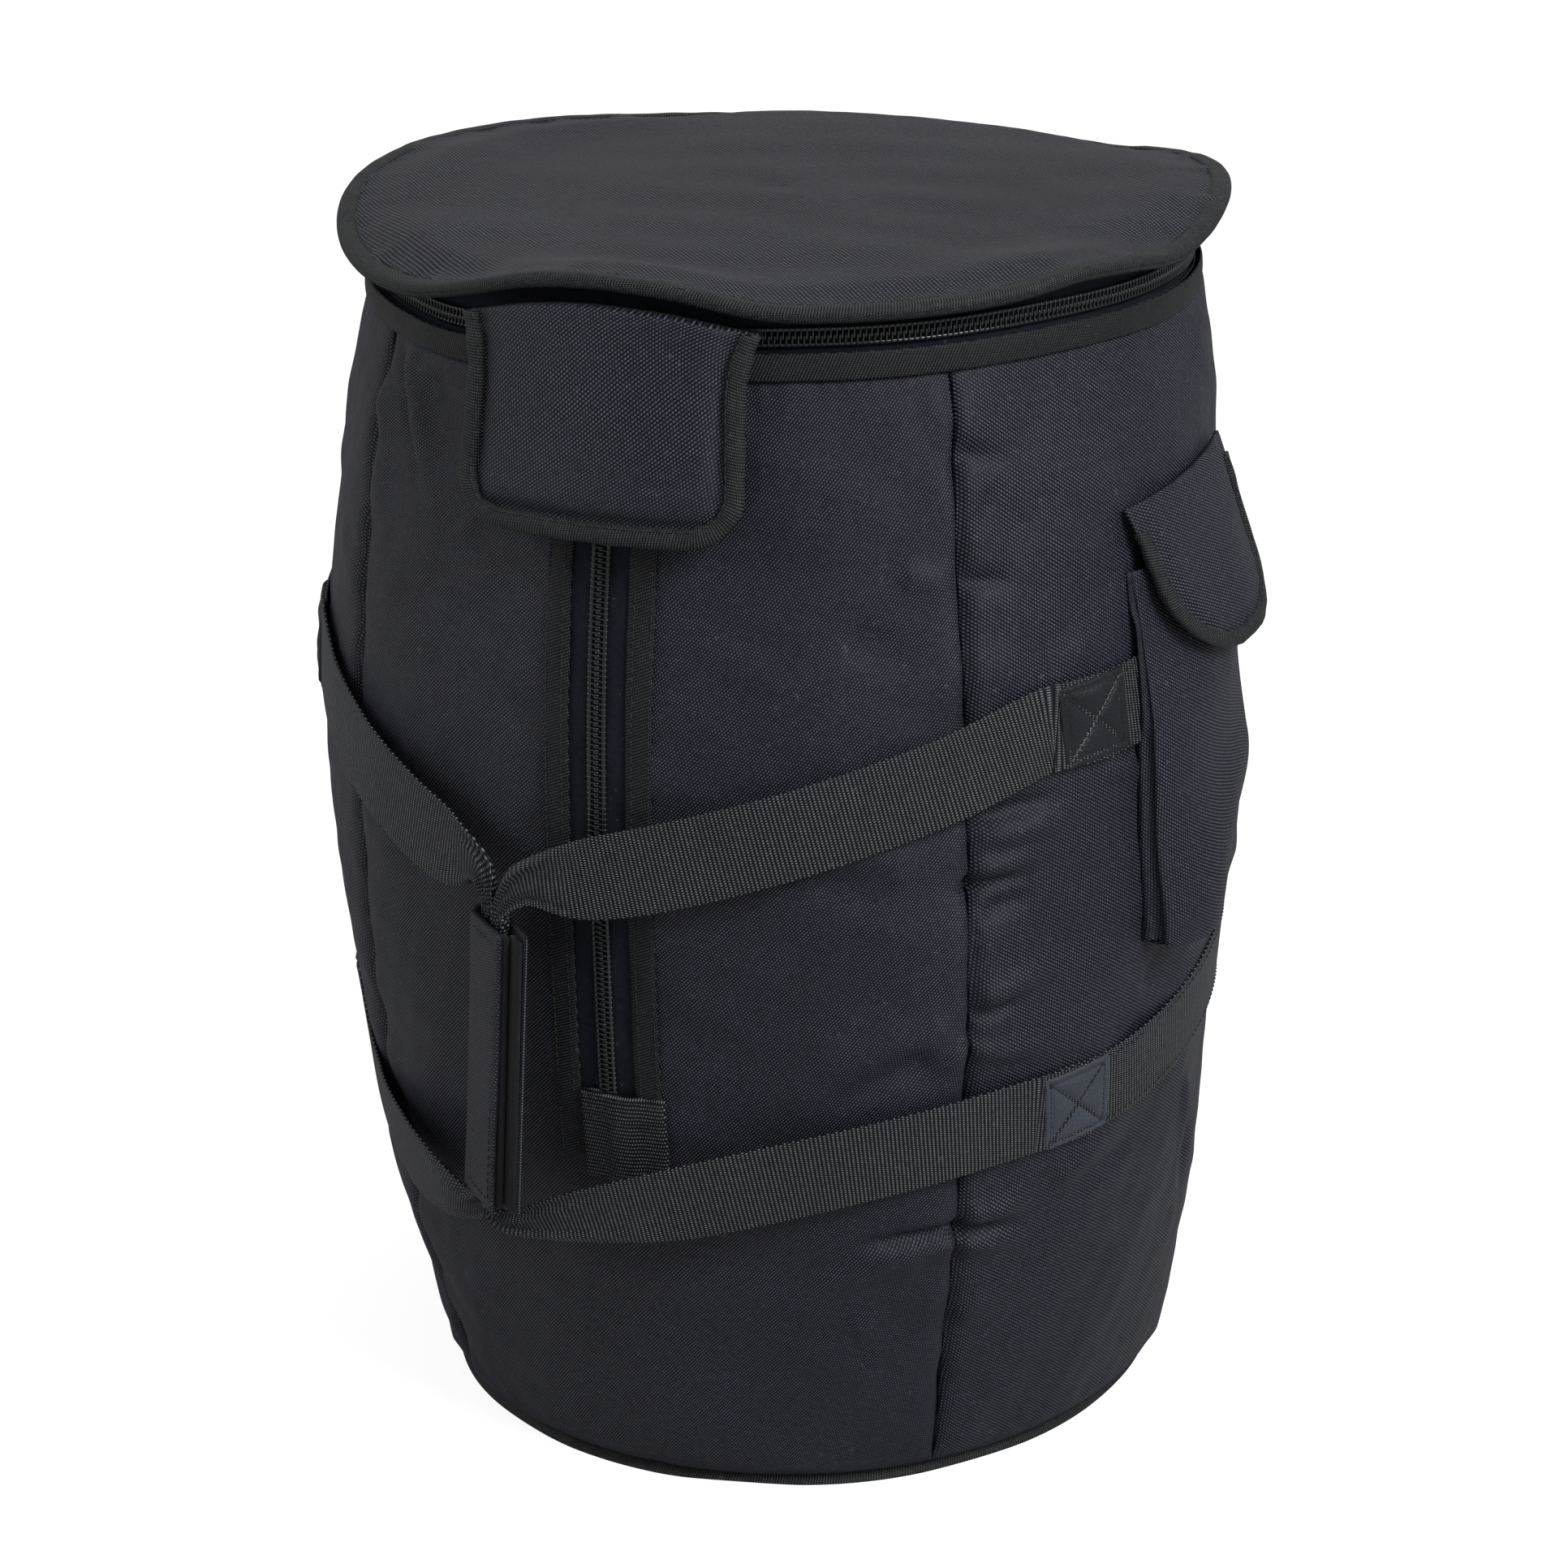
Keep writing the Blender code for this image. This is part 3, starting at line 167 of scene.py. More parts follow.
def ripple(across: Array, up: Array, seed: int, wave: float, count: int = 9) -> Array:
    """Soft unevenness: the mean of sines with seeded directions, wavelengths near wave and phases.

    Args:
        across: Distance round the bag.
        up: Height.
        seed: Seed of the directions and phases.
        wave: Middle wavelength.
        count: Number of sines.

    Returns:
        Values near -1 to 1.
    """
    source = np.random.default_rng(seed)
    turn = source.uniform(0.0, math.tau, count)
    length = wave * source.uniform(0.7, 1.5, count)
    phase = source.uniform(0.0, math.tau, count)
    where = np.asarray(across)[..., None] * np.cos(turn) + np.asarray(up)[..., None] * np.sin(turn)
    return np.sin(where * math.tau / length + phase).sum(axis=-1) / math.sqrt(count)


# Meshes in the making


@dataclass
class Form:
    """A mesh in the making: its points, its faces as arrays of corners, and a UV in metres for each point."""

    points: Array
    faces: list[Array]
    uv: Array

    def volume(self) -> float:
        """Signed volume: a sixth of the sum of each triangle's corner products, taken as fans."""
        total = 0.0
        middle = self.points.mean(axis=0)
        for face in self.faces:
            corners = self.points[face] - middle
            for step in range(1, face.shape[1] - 1):
                total += float(np.einsum("ij,ij->", corners[:, 0], np.cross(corners[:, step], corners[:, step + 1])))
        return total / 6

    def facing_out(self) -> "Form":
        """The same form with its faces turned outwards."""
        if self.volume() >= 0:
            return self
        return Form(self.points, [face[:, ::-1] for face in self.faces], self.uv)

    def to_object(self, name: str) -> bpy.types.Object:
        """A smooth mesh object of this form, with its UV map.

        Args:
            name: Name of the object and its mesh.

        Returns:
            The object, linked to the scene.
        """
        form = self.facing_out()
        used = np.unique(np.concatenate([face.ravel() for face in form.faces]))
        number = np.zeros(len(form.points), np.int32)
        number[used] = np.arange(len(used))
        corners = np.concatenate([number[face].ravel() for face in form.faces])
        sizes = np.concatenate([np.full(len(face), face.shape[1], np.int32) for face in form.faces])
        mesh = bpy.data.meshes.new(name)
        mesh.vertices.add(len(used))
        mesh.vertices.foreach_set("co", form.points[used].astype(np.float32).ravel())
        mesh.loops.add(len(corners))
        mesh.loops.foreach_set("vertex_index", corners.astype(np.int32))
        mesh.polygons.add(len(sizes))
        mesh.polygons.foreach_set("loop_start", (np.cumsum(sizes) - sizes).astype(np.int32))
        mesh.polygons.foreach_set("use_smooth", np.ones(len(sizes), bool))
        layer = mesh.uv_layers.new(name=UV_NAME)
        mesh.update(calc_edges=True)
        layer.data.foreach_set("uv", form.uv[used][corners].astype(np.float32).ravel())
        mesh.validate()
        obj = bpy.data.objects.new(name, mesh)
        bpy.context.scene.collection.objects.link(obj)
        return obj


def joined(forms: Sequence[Form]) -> Form:
    """Several forms as one."""
    starts = np.cumsum([0, *(len(form.points) for form in forms)])
    faces = [face + start for form, start in zip(forms, starts) for face in form.faces]
    return Form(np.concatenate([form.points for form in forms]), faces, np.concatenate([form.uv for form in forms]))


def tube(stations: int, size: int, closed: bool = False) -> list[Array]:
    """Faces of a tube whose points are numbered ring by ring, with flat ends unless it closes on itself."""
    index = np.arange(stations * size).reshape(stations, size)
    here, there = (index, np.roll(index, -1, 0)) if closed else (index[:-1], index[1:])
    sides = np.stack([here, np.roll(here, -1, 1), np.roll(there, -1, 1), there], -1).reshape(-1, 4)
    return [sides] if closed else [sides, index[:1, ::-1], index[-1:]]


def shell(front: Array, back: Array, uv: Array, present: Optional[Array] = None, wrap: bool = False) -> Form:
    """A closed thin wall between two grids of points.

    Each present cell has a face on both grids, and a rim face wherever the cell beside it is missing.

    Args:
        front: Outer grid, rows by columns by 3.
        back: Inner grid of the same shape.
        uv: Grid of UV places in metres.
        present: Cells that exist; all of them if not given.
        wrap: Whether the last column joins the first.

    Returns:
        The form.
    """
    rows, columns = front.shape[:2]
    spans = columns if wrap else columns - 1
    there = np.ones((rows - 1, spans), bool) if present is None else present
    index = np.arange(rows * columns).reshape(rows, columns)
    after = (np.arange(spans) + 1) % columns
    a, b = index[:-1, :spans], index[:-1][:, after]
    c, d = index[1:][:, after], index[1:, :spans]
    layer = rows * columns
    faces = [np.stack([a, b, c, d], -1)[there], np.stack([d, c, b, a], -1)[there] + layer]
    padded = np.pad(there, 1)
    if wrap:
        padded[:, 0], padded[:, -1] = padded[:, -2], padded[:, 1]
    beside = (
        (padded[:-2, 1:-1], b, a),
        (padded[1:-1, 2:], c, b),
        (padded[2:, 1:-1], d, c),
        (padded[1:-1, :-2], a, d),
    )
    for neighbour, first, last in beside:
        edge = there & ~neighbour
        faces.append(np.stack([first[edge], last[edge], last[edge] + layer, first[edge] + layer], -1))
    points = np.concatenate([front.reshape(-1, 3), back.reshape(-1, 3)])
    flat = uv.reshape(-1, 2)
    return Form(points, [face for face in faces if len(face)], np.concatenate([flat, flat]))


def sweep(path: Array, side: Array, out: Array, profile: Array, closed: bool = False) -> Form:
    """A profile carried along a path: point + side times the profile's x + out times its y.

    Args:
        path: Points of the path.
        side: Unit direction of the profile's x at each point.
        out: Unit direction of the profile's y at each point.
        profile: Closed outline of x and y pairs, one for all stations or one for each.
        closed: Whether the path is a ring.

    Returns:
        The form, with flat ends unless it is a ring. Its UV runs along the path and round the profile.
    """
    shape = np.broadcast_to(profile, (len(path), *np.shape(profile)[-2:]))
    points = path[:, None] + side[:, None] * shape[..., :1] + out[:, None] * shape[..., 1:2]
    uv = pairs(path_length(path)[:, None], path_length(shape[0])[None])
    return Form(points.reshape(-1, 3), tube(*points.shape[:2], closed), uv.reshape(-1, 2))


def copies(template: Form, places: Array, axes: Array) -> Form:
    """A small form repeated: each point is place + the template's point times that copy's three axes.

    Args:
        template: Form round the origin.
        places: One place for each copy.
        axes: One 3 by 3 array of row axes for each copy.

    Returns:
        All copies as one form.
    """
    count, size = len(places), len(template.points)
    points = places[:, None] + np.einsum("pk,nkj->npj", template.points, axes)
    start = (np.arange(count) * size)[:, None, None]
    faces = [(face[None] + start).reshape(-1, face.shape[1]) for face in template.facing_out().faces]
    return Form(points.reshape(-1, 3), faces, np.tile(template.uv, (count, 1)))


def rounded_profile(width: float, thick: float, power: float = 4.0, count: int = 20) -> Array:
    """Outline of a flat band: a superellipse, where |x/a|^n + |y/b|^n = 1.

    Args:
        width: Full width.
        thick: Full thickness.
        power: Exponent n; the higher, the squarer.
        count: Number of points.

    Returns:
        The outline's x and y pairs.
    """
    turn = np.arange(count) / count * math.tau
    x = np.sign(np.cos(turn)) * np.abs(np.cos(turn)) ** (2 / power)
    y = np.sign(np.sin(turn)) * np.abs(np.sin(turn)) ** (2 / power)
    return np.stack([x * width / 2, y * thick / 2], -1)


# Finishes


class Weave(Enum):
    """Kinds of surface pattern."""

    OXFORD = "oxford"
    WEBBING = "webbing"
    TAPE = "tape"
    GRAIN = "grain"
    FUZZ = "fuzz"
    SMOOTH = "smooth"


@dataclass
class Nodes:
    """A node tree with short ways to add to it."""

    tree: bpy.types.NodeTree

    def node(self, kind: str, inputs: dict, **settings: object) -> bpy.types.Node:
        """Adds a node, sets its properties and joins or sets its inputs.

        Args:
            kind: Blender's name of the node type.
            inputs: Socket names or numbers with a value or a source socket each.
            **settings: Properties of the node.

        Returns:
            The node.
        """
        made = self.tree.nodes.new(kind)
        for key, value in settings.items():
            setattr(made, key, value)
        self.feed(made, inputs)
        return made

    def feed(self, node: bpy.types.Node, inputs: dict) -> None:
        """Joins or sets inputs of a node."""
        for key, value in inputs.items():
            if isinstance(value, Socket):
                self.tree.links.new(value, node.inputs[key])
            else:
                node.inputs[key].default_value = value

    def maths(self, operation: str, first: object, second: object = 0.0) -> Socket:
        """The result of one maths node."""
        return self.node("ShaderNodeMath", {0: first, 1: second}, operation=operation).outputs[0]


class NodeGroup(Nodes):
    """A shader node group under construction."""

    def __init__(self, name: str) -> None:
        """Starts an empty group of this name."""
        super().__init__(bpy.data.node_groups.new(name, "ShaderNodeTree"))
        self.start = self.tree.nodes.new("NodeGroupInput")
        self.end = self.tree.nodes.new("NodeGroupOutput")

    def takes(self, name: str, kind: str = "NodeSocketFloat", value: object = None) -> None:
        """Adds a named input with its first value."""
        socket = self.tree.interface.new_socket(name, in_out="INPUT", socket_type=kind)
        if value is not None:
            socket.default_value = value

    def gives(self, name: str, source: Socket, kind: str = "NodeSocketFloat") -> None:
        """Adds a named output fed by a socket."""
        self.tree.interface.new_socket(name, in_out="OUTPUT", socket_type=kind)
        self.tree.links.new(source, self.end.inputs[name])

    def taken(self, name: str) -> Socket:
        """The socket that brings a named input in."""
        return self.start.outputs[name]

    def wave(self, phase: object) -> Socket:
        """Half of one plus the cosine of a whole number of turns: 0.5 + 0.5 cos(2 pi phase)."""
        turned = self.maths("COSINE", self.maths("MULTIPLY", phase, math.tau))
        return self.maths("ADD", self.maths("MULTIPLY", turned, 0.5), 0.5)


def weave_group(name: str, pattern: Callable[[NodeGroup, Socket, Socket], Socket]) -> bpy.types.NodeTree:
    """A group for a woven pattern: coordinates divided by the pitch go through the pattern's formula.

    Args:
        name: Name of the group.
        pattern: Formula that turns x and y in pitches into a height from 0 to 1.

    Returns:
        The node tree. A Vector, a Pitch, a Turn and a Noise come in; a Height and a Shade, uneven with the noise, go
        out. The Shade gives the thread tops the light colour, a painted highlight, and leaves the gaps dark, painted
        shade, over the weave's own pattern.
    """
    group = NodeGroup(name)
    group.takes("Vector", "NodeSocketVector")
    group.takes("Pitch", value=0.0012)
    group.takes("Turn", value=0.0)
    group.takes("Noise", value=0.5)
    around = {"Vector": group.taken("Vector"), "Angle": group.taken("Turn")}
    turned = group.node("ShaderNodeVectorRotate", around, rotation_type="Z_AXIS").outputs["Vector"]
    apart = group.node("ShaderNodeSeparateXYZ", {0: turned}).outputs
    height = pattern(group, *[group.maths("DIVIDE", apart[axis], group.taken("Pitch")) for axis in (0, 1)])
    lifted = group.maths("POWER", height, 2.1)
    uneven = group.maths("ADD", group.maths("MULTIPLY", group.taken("Noise"), 1.6), 0.2)
    group.gives("Height", height)
    group.gives("Shade", group.maths("MULTIPLY", lifted, group.maths("MAXIMUM", uneven, 0.1)))
    return group.tree


def oxford_pattern(group: NodeGroup, x: Socket, y: Socket) -> Socket:
    """Lines of long knots, every other line half a step on: wave(y - 1/2) (0.35 + 0.65 wave(0.9x + floor(y)/2))."""
    shift = group.maths("MULTIPLY", group.maths("FLOOR", y), 0.5)
    knots = group.wave(group.maths("ADD", group.maths("MULTIPLY", x, 0.9), shift))
    lines = group.wave(group.maths("SUBTRACT", y, 0.5))
    return group.maths("MULTIPLY", lines, group.maths("ADD", group.maths("MULTIPLY", knots, 0.65), 0.35))


def webbing_pattern(group: NodeGroup, x: Socket, y: Socket) -> Socket:
    """Columns of knots across the band, every other one half a step on: wave(x) wave(1.6y + floor(x + 1/2)/2)."""
    column = group.maths("FLOOR", group.maths("ADD", x, 0.5))
    along = group.maths("ADD", group.maths("MULTIPLY", y, 1.6), group.maths("MULTIPLY", column, 0.5))
    return group.maths("MULTIPLY", group.wave(x), group.wave(along))


def tape_pattern(group: NodeGroup, x: Socket, y: Socket) -> Socket:
    """Herringbone of a woven tape: wave(x + tri(y/6)) where tri goes to and fro."""
    fold = group.maths("PINGPONG", y, 3.0)
    return group.wave(group.maths("ADD", x, fold))


def unevenness_group() -> bpy.types.NodeTree:
    """A group for wear and lint: slow noise that lightens the cloth, and rare pale specks of fluff."""
    group = NodeGroup("wear_and_lint")
    group.takes("Vector", "NodeSocketVector")
    group.takes("Wear", value=0.25)
    group.takes("Lint", value=0.4)
    vector = group.taken("Vector")
    slow = group.node("ShaderNodeTexNoise", {"Vector": vector, "Scale": 16.0, "Detail": 3.0}).outputs["Fac"]
    fine = group.node("ShaderNodeTexNoise", {"Vector": vector, "Scale": 420.0, "Detail": 2.0}).outputs["Fac"]
    patch = group.maths("MULTIPLY", group.maths("SUBTRACT", slow, 0.5), group.taken("Wear"))
    speck = group.maths("MULTIPLY", group.maths("GREATER_THAN", fine, 0.735), group.taken("Lint"))
    group.gives("Light", group.maths("ADD", group.maths("MULTIPLY", patch, 2.0), 1.0))
    group.gives("Lint", speck)
    group.gives("Noise", fine)
    return group.tree


def grain_group() -> bpy.types.NodeTree:
    """A group for pressed leather grain: cells of a Voronoi pattern softened by noise."""
    group = NodeGroup("pressed_grain")
    group.takes("Vector", "NodeSocketVector")
    group.takes("Size", value=900.0)
    vector = group.taken("Vector")
    cells = group.node("ShaderNodeTexVoronoi", {"Vector": vector, "Scale": group.taken("Size")})
    soft = group.node("ShaderNodeTexNoise", {"Vector": vector, "Scale": 260.0, "Detail": 3.0}).outputs["Fac"]
    height = group.maths("ADD", cells.outputs["Distance"], group.maths("MULTIPLY", soft, 0.6))
    group.gives("Height", height)
    return group.tree


@dataclass(frozen=True)
class Finish:
    """One material of the bag: its two colours, gloss, pattern and relief."""

    slot: str
    weave: Weave
    dark: Colour
    light: Colour
    roughness: float = 0.8
    sheen: float = 0.0
    pitch: float = 0.0012
    relief: float = 0.00025
    wear: float = 0.25
    lint: float = 0.4
    metallic: float = 0.0
    coat: float = 0.0
    turn: float = 0.0
    gloss: float = 0.2


# On the woven finishes the light colour lands on the thread tops as a painted highlight and the dark one in the gaps as
# painted shade, over the weave's own pattern.
CLOTH = Finish(
    "cloth", Weave.OXFORD, (0.0020, 0.0022, 0.0048), (0.165, 0.170, 0.245),
    roughness=0.48, sheen=0.02, pitch=0.00125, relief=0.0004, turn=-45.0, gloss=0.28,
)
SIDE_CLOTH = replace(CLOTH, turn=33.0, pitch=0.00140)
LID_CLOTH = replace(CLOTH, light=(0.165, 0.168, 0.230), turn=43.0, pitch=0.00175)
BIB_CLOTH = replace(CLOTH, turn=-38.0)
LINING = Finish(
    "lining", Weave.OXFORD, (0.006, 0.006, 0.008), (0.050, 0.050, 0.060), roughness=0.6, pitch=0.0007, relief=0.0001
)
BINDING = Finish(
    "binding", Weave.WEBBING, (0.0025, 0.0029, 0.0035), (0.200, 0.212, 0.225),
    roughness=0.5, sheen=0.02, pitch=0.00120, relief=0.0003, turn=12.0, gloss=0.25,
)
BAND = replace(BINDING, dark=(0.0025, 0.0028, 0.0036), light=(0.140, 0.147, 0.162), pitch=0.00125, turn=24.0)
WEBBING = Finish(
    "webbing", Weave.WEBBING, (0.0016, 0.0020, 0.0032), (0.360, 0.375, 0.420),
    roughness=0.48, sheen=0.02, pitch=0.00180, relief=0.0005, gloss=0.3,
)
TAB_WEBBING = replace(WEBBING, light=(0.300, 0.312, 0.340))
ZIP_TAPE = Finish("zip_tape", Weave.TAPE, (0.004, 0.005, 0.009), (0.030, 0.036, 0.055), pitch=0.0009, relief=0.0001)
TEETH = Finish("coil", Weave.SMOOTH, (0.012, 0.014, 0.016), (0.018, 0.020, 0.022), roughness=0.22, gloss=0.9)
LEATHERETTE = Finish(
    "leatherette", Weave.GRAIN, (0.010, 0.012, 0.016), (0.020, 0.023, 0.030), roughness=0.42, coat=0.12
)
# A lighter copy of the leatherette for the lower patches: painted light, where they catch more light than the upper
# ones.
LIT_LEATHERETTE = replace(LEATHERETTE, dark=(0.040, 0.046, 0.060), light=(0.072, 0.082, 0.105))
METAL = Finish("metal", Weave.SMOOTH, (0.035, 0.036, 0.040), (0.035, 0.036, 0.040), roughness=0.34, metallic=0.85)
FLUFF = Finish("hook_and_loop", Weave.FUZZ, (0.003, 0.003, 0.004), (0.020, 0.021, 0.024), roughness=0.95, sheen=0.1)
THREAD = Finish("binding", Weave.SMOOTH, (0.030, 0.032, 0.035), (0.060, 0.063, 0.068), roughness=0.45)
PALE_THREAD = Finish("binding", Weave.SMOOTH, (0.22, 0.23, 0.24), (0.22, 0.23, 0.24), roughness=0.55)


class Dresser:
    """Makes each finish's material once and puts pieces on their bodies."""

    lint: Colour = (0.13, 0.13, 0.14)
    grain_sizes: dict[Weave, float] = {Weave.GRAIN: 900.0, Weave.FUZZ: 2600.0}

    def __init__(self) -> None:
        """Builds the shared node groups."""
        self.made: dict[Finish, bpy.types.Material] = {}
        self.patterns = {
            Weave.OXFORD: weave_group("oxford_weave", oxford_pattern),
            Weave.WEBBING: weave_group("webbing_weave", webbing_pattern),
            Weave.TAPE: weave_group("herringbone_tape", tape_pattern),
        }
        self.grain = grain_group()
        self.unevenness = unevenness_group()
        self.count = 0

    def material(self, finish: Finish, name: str) -> bpy.types.Material:
        """The material of a finish, made on first use.

        Args:
            finish: The finish.
            name: Name for a new material.

        Returns:
            The material.
        """
        if finish in self.made:
            return self.made[finish]
        made = bpy.data.materials.new(name)
        made.use_nodes = True
        nodes = Nodes(made.node_tree)
        shader = made.node_tree.nodes["Principled BSDF"]
        where = nodes.node("ShaderNodeTexCoord", {}).outputs["Object"]
        inputs = {"Vector": where, "Wear": finish.wear, "Lint": finish.lint}
        wear = nodes.node("ShaderNodeGroup", inputs, node_tree=self.unevenness).outputs
        shade, relief = self.pattern(nodes, finish, where, wear["Noise"])
        mixed = {"A": (*finish.dark, 1.0), "B": (*finish.light, 1.0), "Factor": shade}
        base = nodes.node("ShaderNodeMix", mixed, data_type="RGBA").outputs["Result"]
        worn = nodes.node("ShaderNodeVectorMath", {0: base, "Scale": wear["Light"]}, operation="SCALE")
        linted = {"A": worn.outputs["Vector"], "B": (*self.lint, 1.0), "Factor": wear["Lint"]}
        colour = nodes.node("ShaderNodeMix", linted, data_type="RGBA").outputs["Result"]
        nodes.feed(shader, {
            "Base Color": colour, "Roughness": finish.roughness, "Metallic": finish.metallic,
            "Sheen Weight": finish.sheen, "Sheen Roughness": 0.45, "Coat Weight": finish.coat,
            "Coat Roughness": 0.35, "Specular IOR Level": finish.gloss, **relief,
        })
        made.diffuse_color = (*[(a + b) / 2 for a, b in zip(finish.dark, finish.light)], 1.0)
        self.made[finish] = made
        return made

    def pattern(self, nodes: Nodes, finish: Finish, where: Socket, noise: Socket) -> tuple[Socket, dict]:
        """Adds a finish's pattern and its bump.

        Args:
            nodes: The material's nodes.
            finish: The finish.
            where: Object coordinates, for grain and fluff.
            noise: Fine noise that makes the threads uneven.

        Returns:
            The socket with the pattern's light and dark, and what feeds the shader's normal.
        """
        if finish.weave is Weave.SMOOTH:
            return noise, {}
        if finish.weave in self.patterns:
            uv = nodes.node("ShaderNodeUVMap", {}, uv_map=UV_NAME).outputs["UV"]
            inputs = {"Vector": uv, "Pitch": finish.pitch, "Turn": math.radians(finish.turn), "Noise": noise}
            made = nodes.node("ShaderNodeGroup", inputs, node_tree=self.patterns[finish.weave]).outputs
            shade = made["Shade"]
        else:
            inputs = {"Vector": where, "Size": self.grain_sizes[finish.weave]}
            made = nodes.node("ShaderNodeGroup", inputs, node_tree=self.grain).outputs
            shade = made["Height"]
        bump_inputs = {"Height": made["Height"], "Distance": finish.relief, "Strength": 0.8}
        return shade, {"Normal": nodes.node("ShaderNodeBump", bump_inputs).outputs["Normal"]}

    def piece(
        self,
        form: Form,
        name: str,
        finish: Finish,
        body: Optional[str],
        replaces: Sequence[str] = (),
        fill: Optional[float] = None,
    ) -> bpy.types.Object:
        """Makes an object of a form, dresses it and puts it on its body.

        Args:
            form: The shape.
            name: The piece's name.
            finish: Its finish.
            body: CAD body that it rides on, or None where it is left on no body.
            replaces: CAD nodes that it stands for.
            fill: How full it is, for a padded piece; not used.

        Returns:
            The object.
        """
        obj = form.to_object(name)
        obj.data.materials.append(self.material(finish, f"{finish.slot}_{finish.weave.value}_{name}"))
        if body is not None:
            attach(obj, body)
        if replaces:
            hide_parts(*replaces)
        self.count += 1
        log.info("%s: %d faces on %s", name, len(obj.data.polygons), body)
        return obj

    def redress(self, node: str, finish: Finish) -> None:
        """Gives a CAD node that stays a finish."""
        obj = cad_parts[node]
        obj.data.materials.clear()
        obj.data.materials.append(self.material(finish, f"{finish.slot}_{finish.weave.value}_{node}"))
        log.info("%s: kept with a new finish", node)


# The barrel that everything lies on


@dataclass(frozen=True)
class Barrel:
    """The body's outside: an arc turned about Z, with the slack places that its cloth has."""

    belly_radius: float = 0.2105
    belly_height: float = 0.2945
    curve_radius: float = 0.983
    wall_top: float = 0.5205
    foot_height: float = 0.012
    foot_reach: float = 0.0245
    base_radius: float = 0.149
    right_slack: Spots = (
        (0, 0.0085), (0.03, 0.0068), (0.06, 0.0034), (0.095, 0), (0.155, -0.007), (0.18, -0.009),
        (0.21, -0.0092), (0.235, -0.0066), (0.256, -0.003), (0.29, -0.002), (0.33, -0.0056),
        (0.44, -0.005), (0.48, -0.0012), (0.521, 0.0026),
    )
    left_slack: Spots = (
        (0, -0.002), (0.06, -0.0026), (0.1, 0), (0.15, -0.0036), (0.19, -0.004), (0.24, -0.0012),
        (0.3, 0.001), (0.38, 0.002), (0.46, 0.0026), (0.521, 0.0004),
    )
    swell: float = 0.0010
    right_spread: tuple[float, float, float] = (110.0, 27.0, 42.0)
    left_spread: tuple[float, float, float] = (-70.0, 40.0, 24.0)
    mouth_lifts: Spots = (
        (-180, 0), (-90, 0), (-60, -0.0008), (-40, -0.002), (-27, -0.0028), (-12, 0.0004),
        (5, 0.002), (20, 0.0032), (40, 0.0032), (60, 0.0038), (80, 0.0022), (100, 0.001), (135, 0),
    )

    def mouth_lift(self, angle: Array) -> Array:
        """How far the soft mouth rises above its level."""
        return round_curve(self.mouth_lifts, angle)

    def radius(self, height: Array, offset: Array = 0.0) -> Array:
        """Distance from the axis: belly - R + (R + offset) cos(phi), where R sin(phi) is the rise from the belly."""
        phi = np.arcsin((np.asarray(height) - self.belly_height) / self.curve_radius)
        return self.belly_radius - self.curve_radius + (self.curve_radius + offset) * np.cos(phi)

    def slack(self, angle: Array, height: Array) -> Array:
        """Broad dents of a soft wall: flatter at both sides in the middle and fuller at the right foot."""
        turn = np.degrees(wrapped(angle))
        total = 0.0
        sides = ((self.right_slack, self.right_spread), (self.left_slack, self.left_spread))
        for table, (middle, before, after) in sides:
            depth = np.interp(height, *np.array(table).T)
            total = total + depth * bump(turn, middle, np.where(turn < middle, before, after))
        swell = self.swell * ripple(np.radians(turn) * 0.21, height, 3, 0.20)
        return total + swell * smooth(height / 0.12) * smooth((0.5 - height) / 0.06)

    def point(self, angle: Array, height: Array, offset: Array = 0.0) -> Array:
        """A point at an offset out of the wall, slack included.

        Args:
            angle: Angle round the bag.
            height: Height.
            offset: Distance out of the arc.

        Returns:
            The points.
        """
        angle, height, offset = matched(angle, height, offset)
        phi = np.arcsin((height - self.belly_height) / self.curve_radius)
        reach = self.curve_radius + offset + self.slack(angle, height)
        radius = self.belly_radius - self.curve_radius + reach * np.cos(phi)
        up = self.belly_height + reach * np.sin(phi) + self.mouth_lift(angle) * smooth((height - 0.42) / 0.1)
        return np.stack([radius * np.sin(angle), -radius * np.cos(angle), up], -1)

    def foot(self, angle: Array, turn: Array, offset: Array) -> Array:
        """A point of the rounded foot, a quarter ellipse from the wall down to the floor.

        Args:
            angle: Angle round the bag.
            turn: How far round the ellipse, from 0 at the wall to a quarter turn at the floor.
            offset: Distance out of the ellipse.

        Returns:
            The points.
        """
        x, y = np.cos(turn) / self.foot_reach, -np.sin(turn) / self.foot_height
        size = np.hypot(x, y)
        slack = self.slack(angle, self.foot_height)
        reach = (self.foot_reach + slack) * (1 - np.cos(turn))
        radius = self.radius(self.foot_height) + slack - reach + offset * x / size
        return ring(radius, angle, self.foot_height * (1 - np.sin(turn)) + offset * y / size)

    def outward(self, angle: Array, height: Array) -> Array:
        """Unit normal of the arc."""
        phi = np.arcsin((np.asarray(height) - self.belly_height) / self.curve_radius)
        angle, phi = matched(angle, phi)
        return np.stack([np.sin(angle) * np.cos(phi), -np.cos(angle) * np.cos(phi), np.sin(phi)], -1)

    def across(self, distance: Array, height: Array) -> Array:
        """The angle at this distance beside the front zip's middle."""
        return np.arcsin(np.asarray(distance) / self.radius(height))


BARREL = Barrel()


def ring(radius: Array, angle: Array, height: Array) -> Array:
    """Points at these distances from Z, angles and heights."""
    radius, angle, height = matched(radius, angle, height)
    return np.stack([radius * np.sin(angle), -radius * np.cos(angle), height], -1)


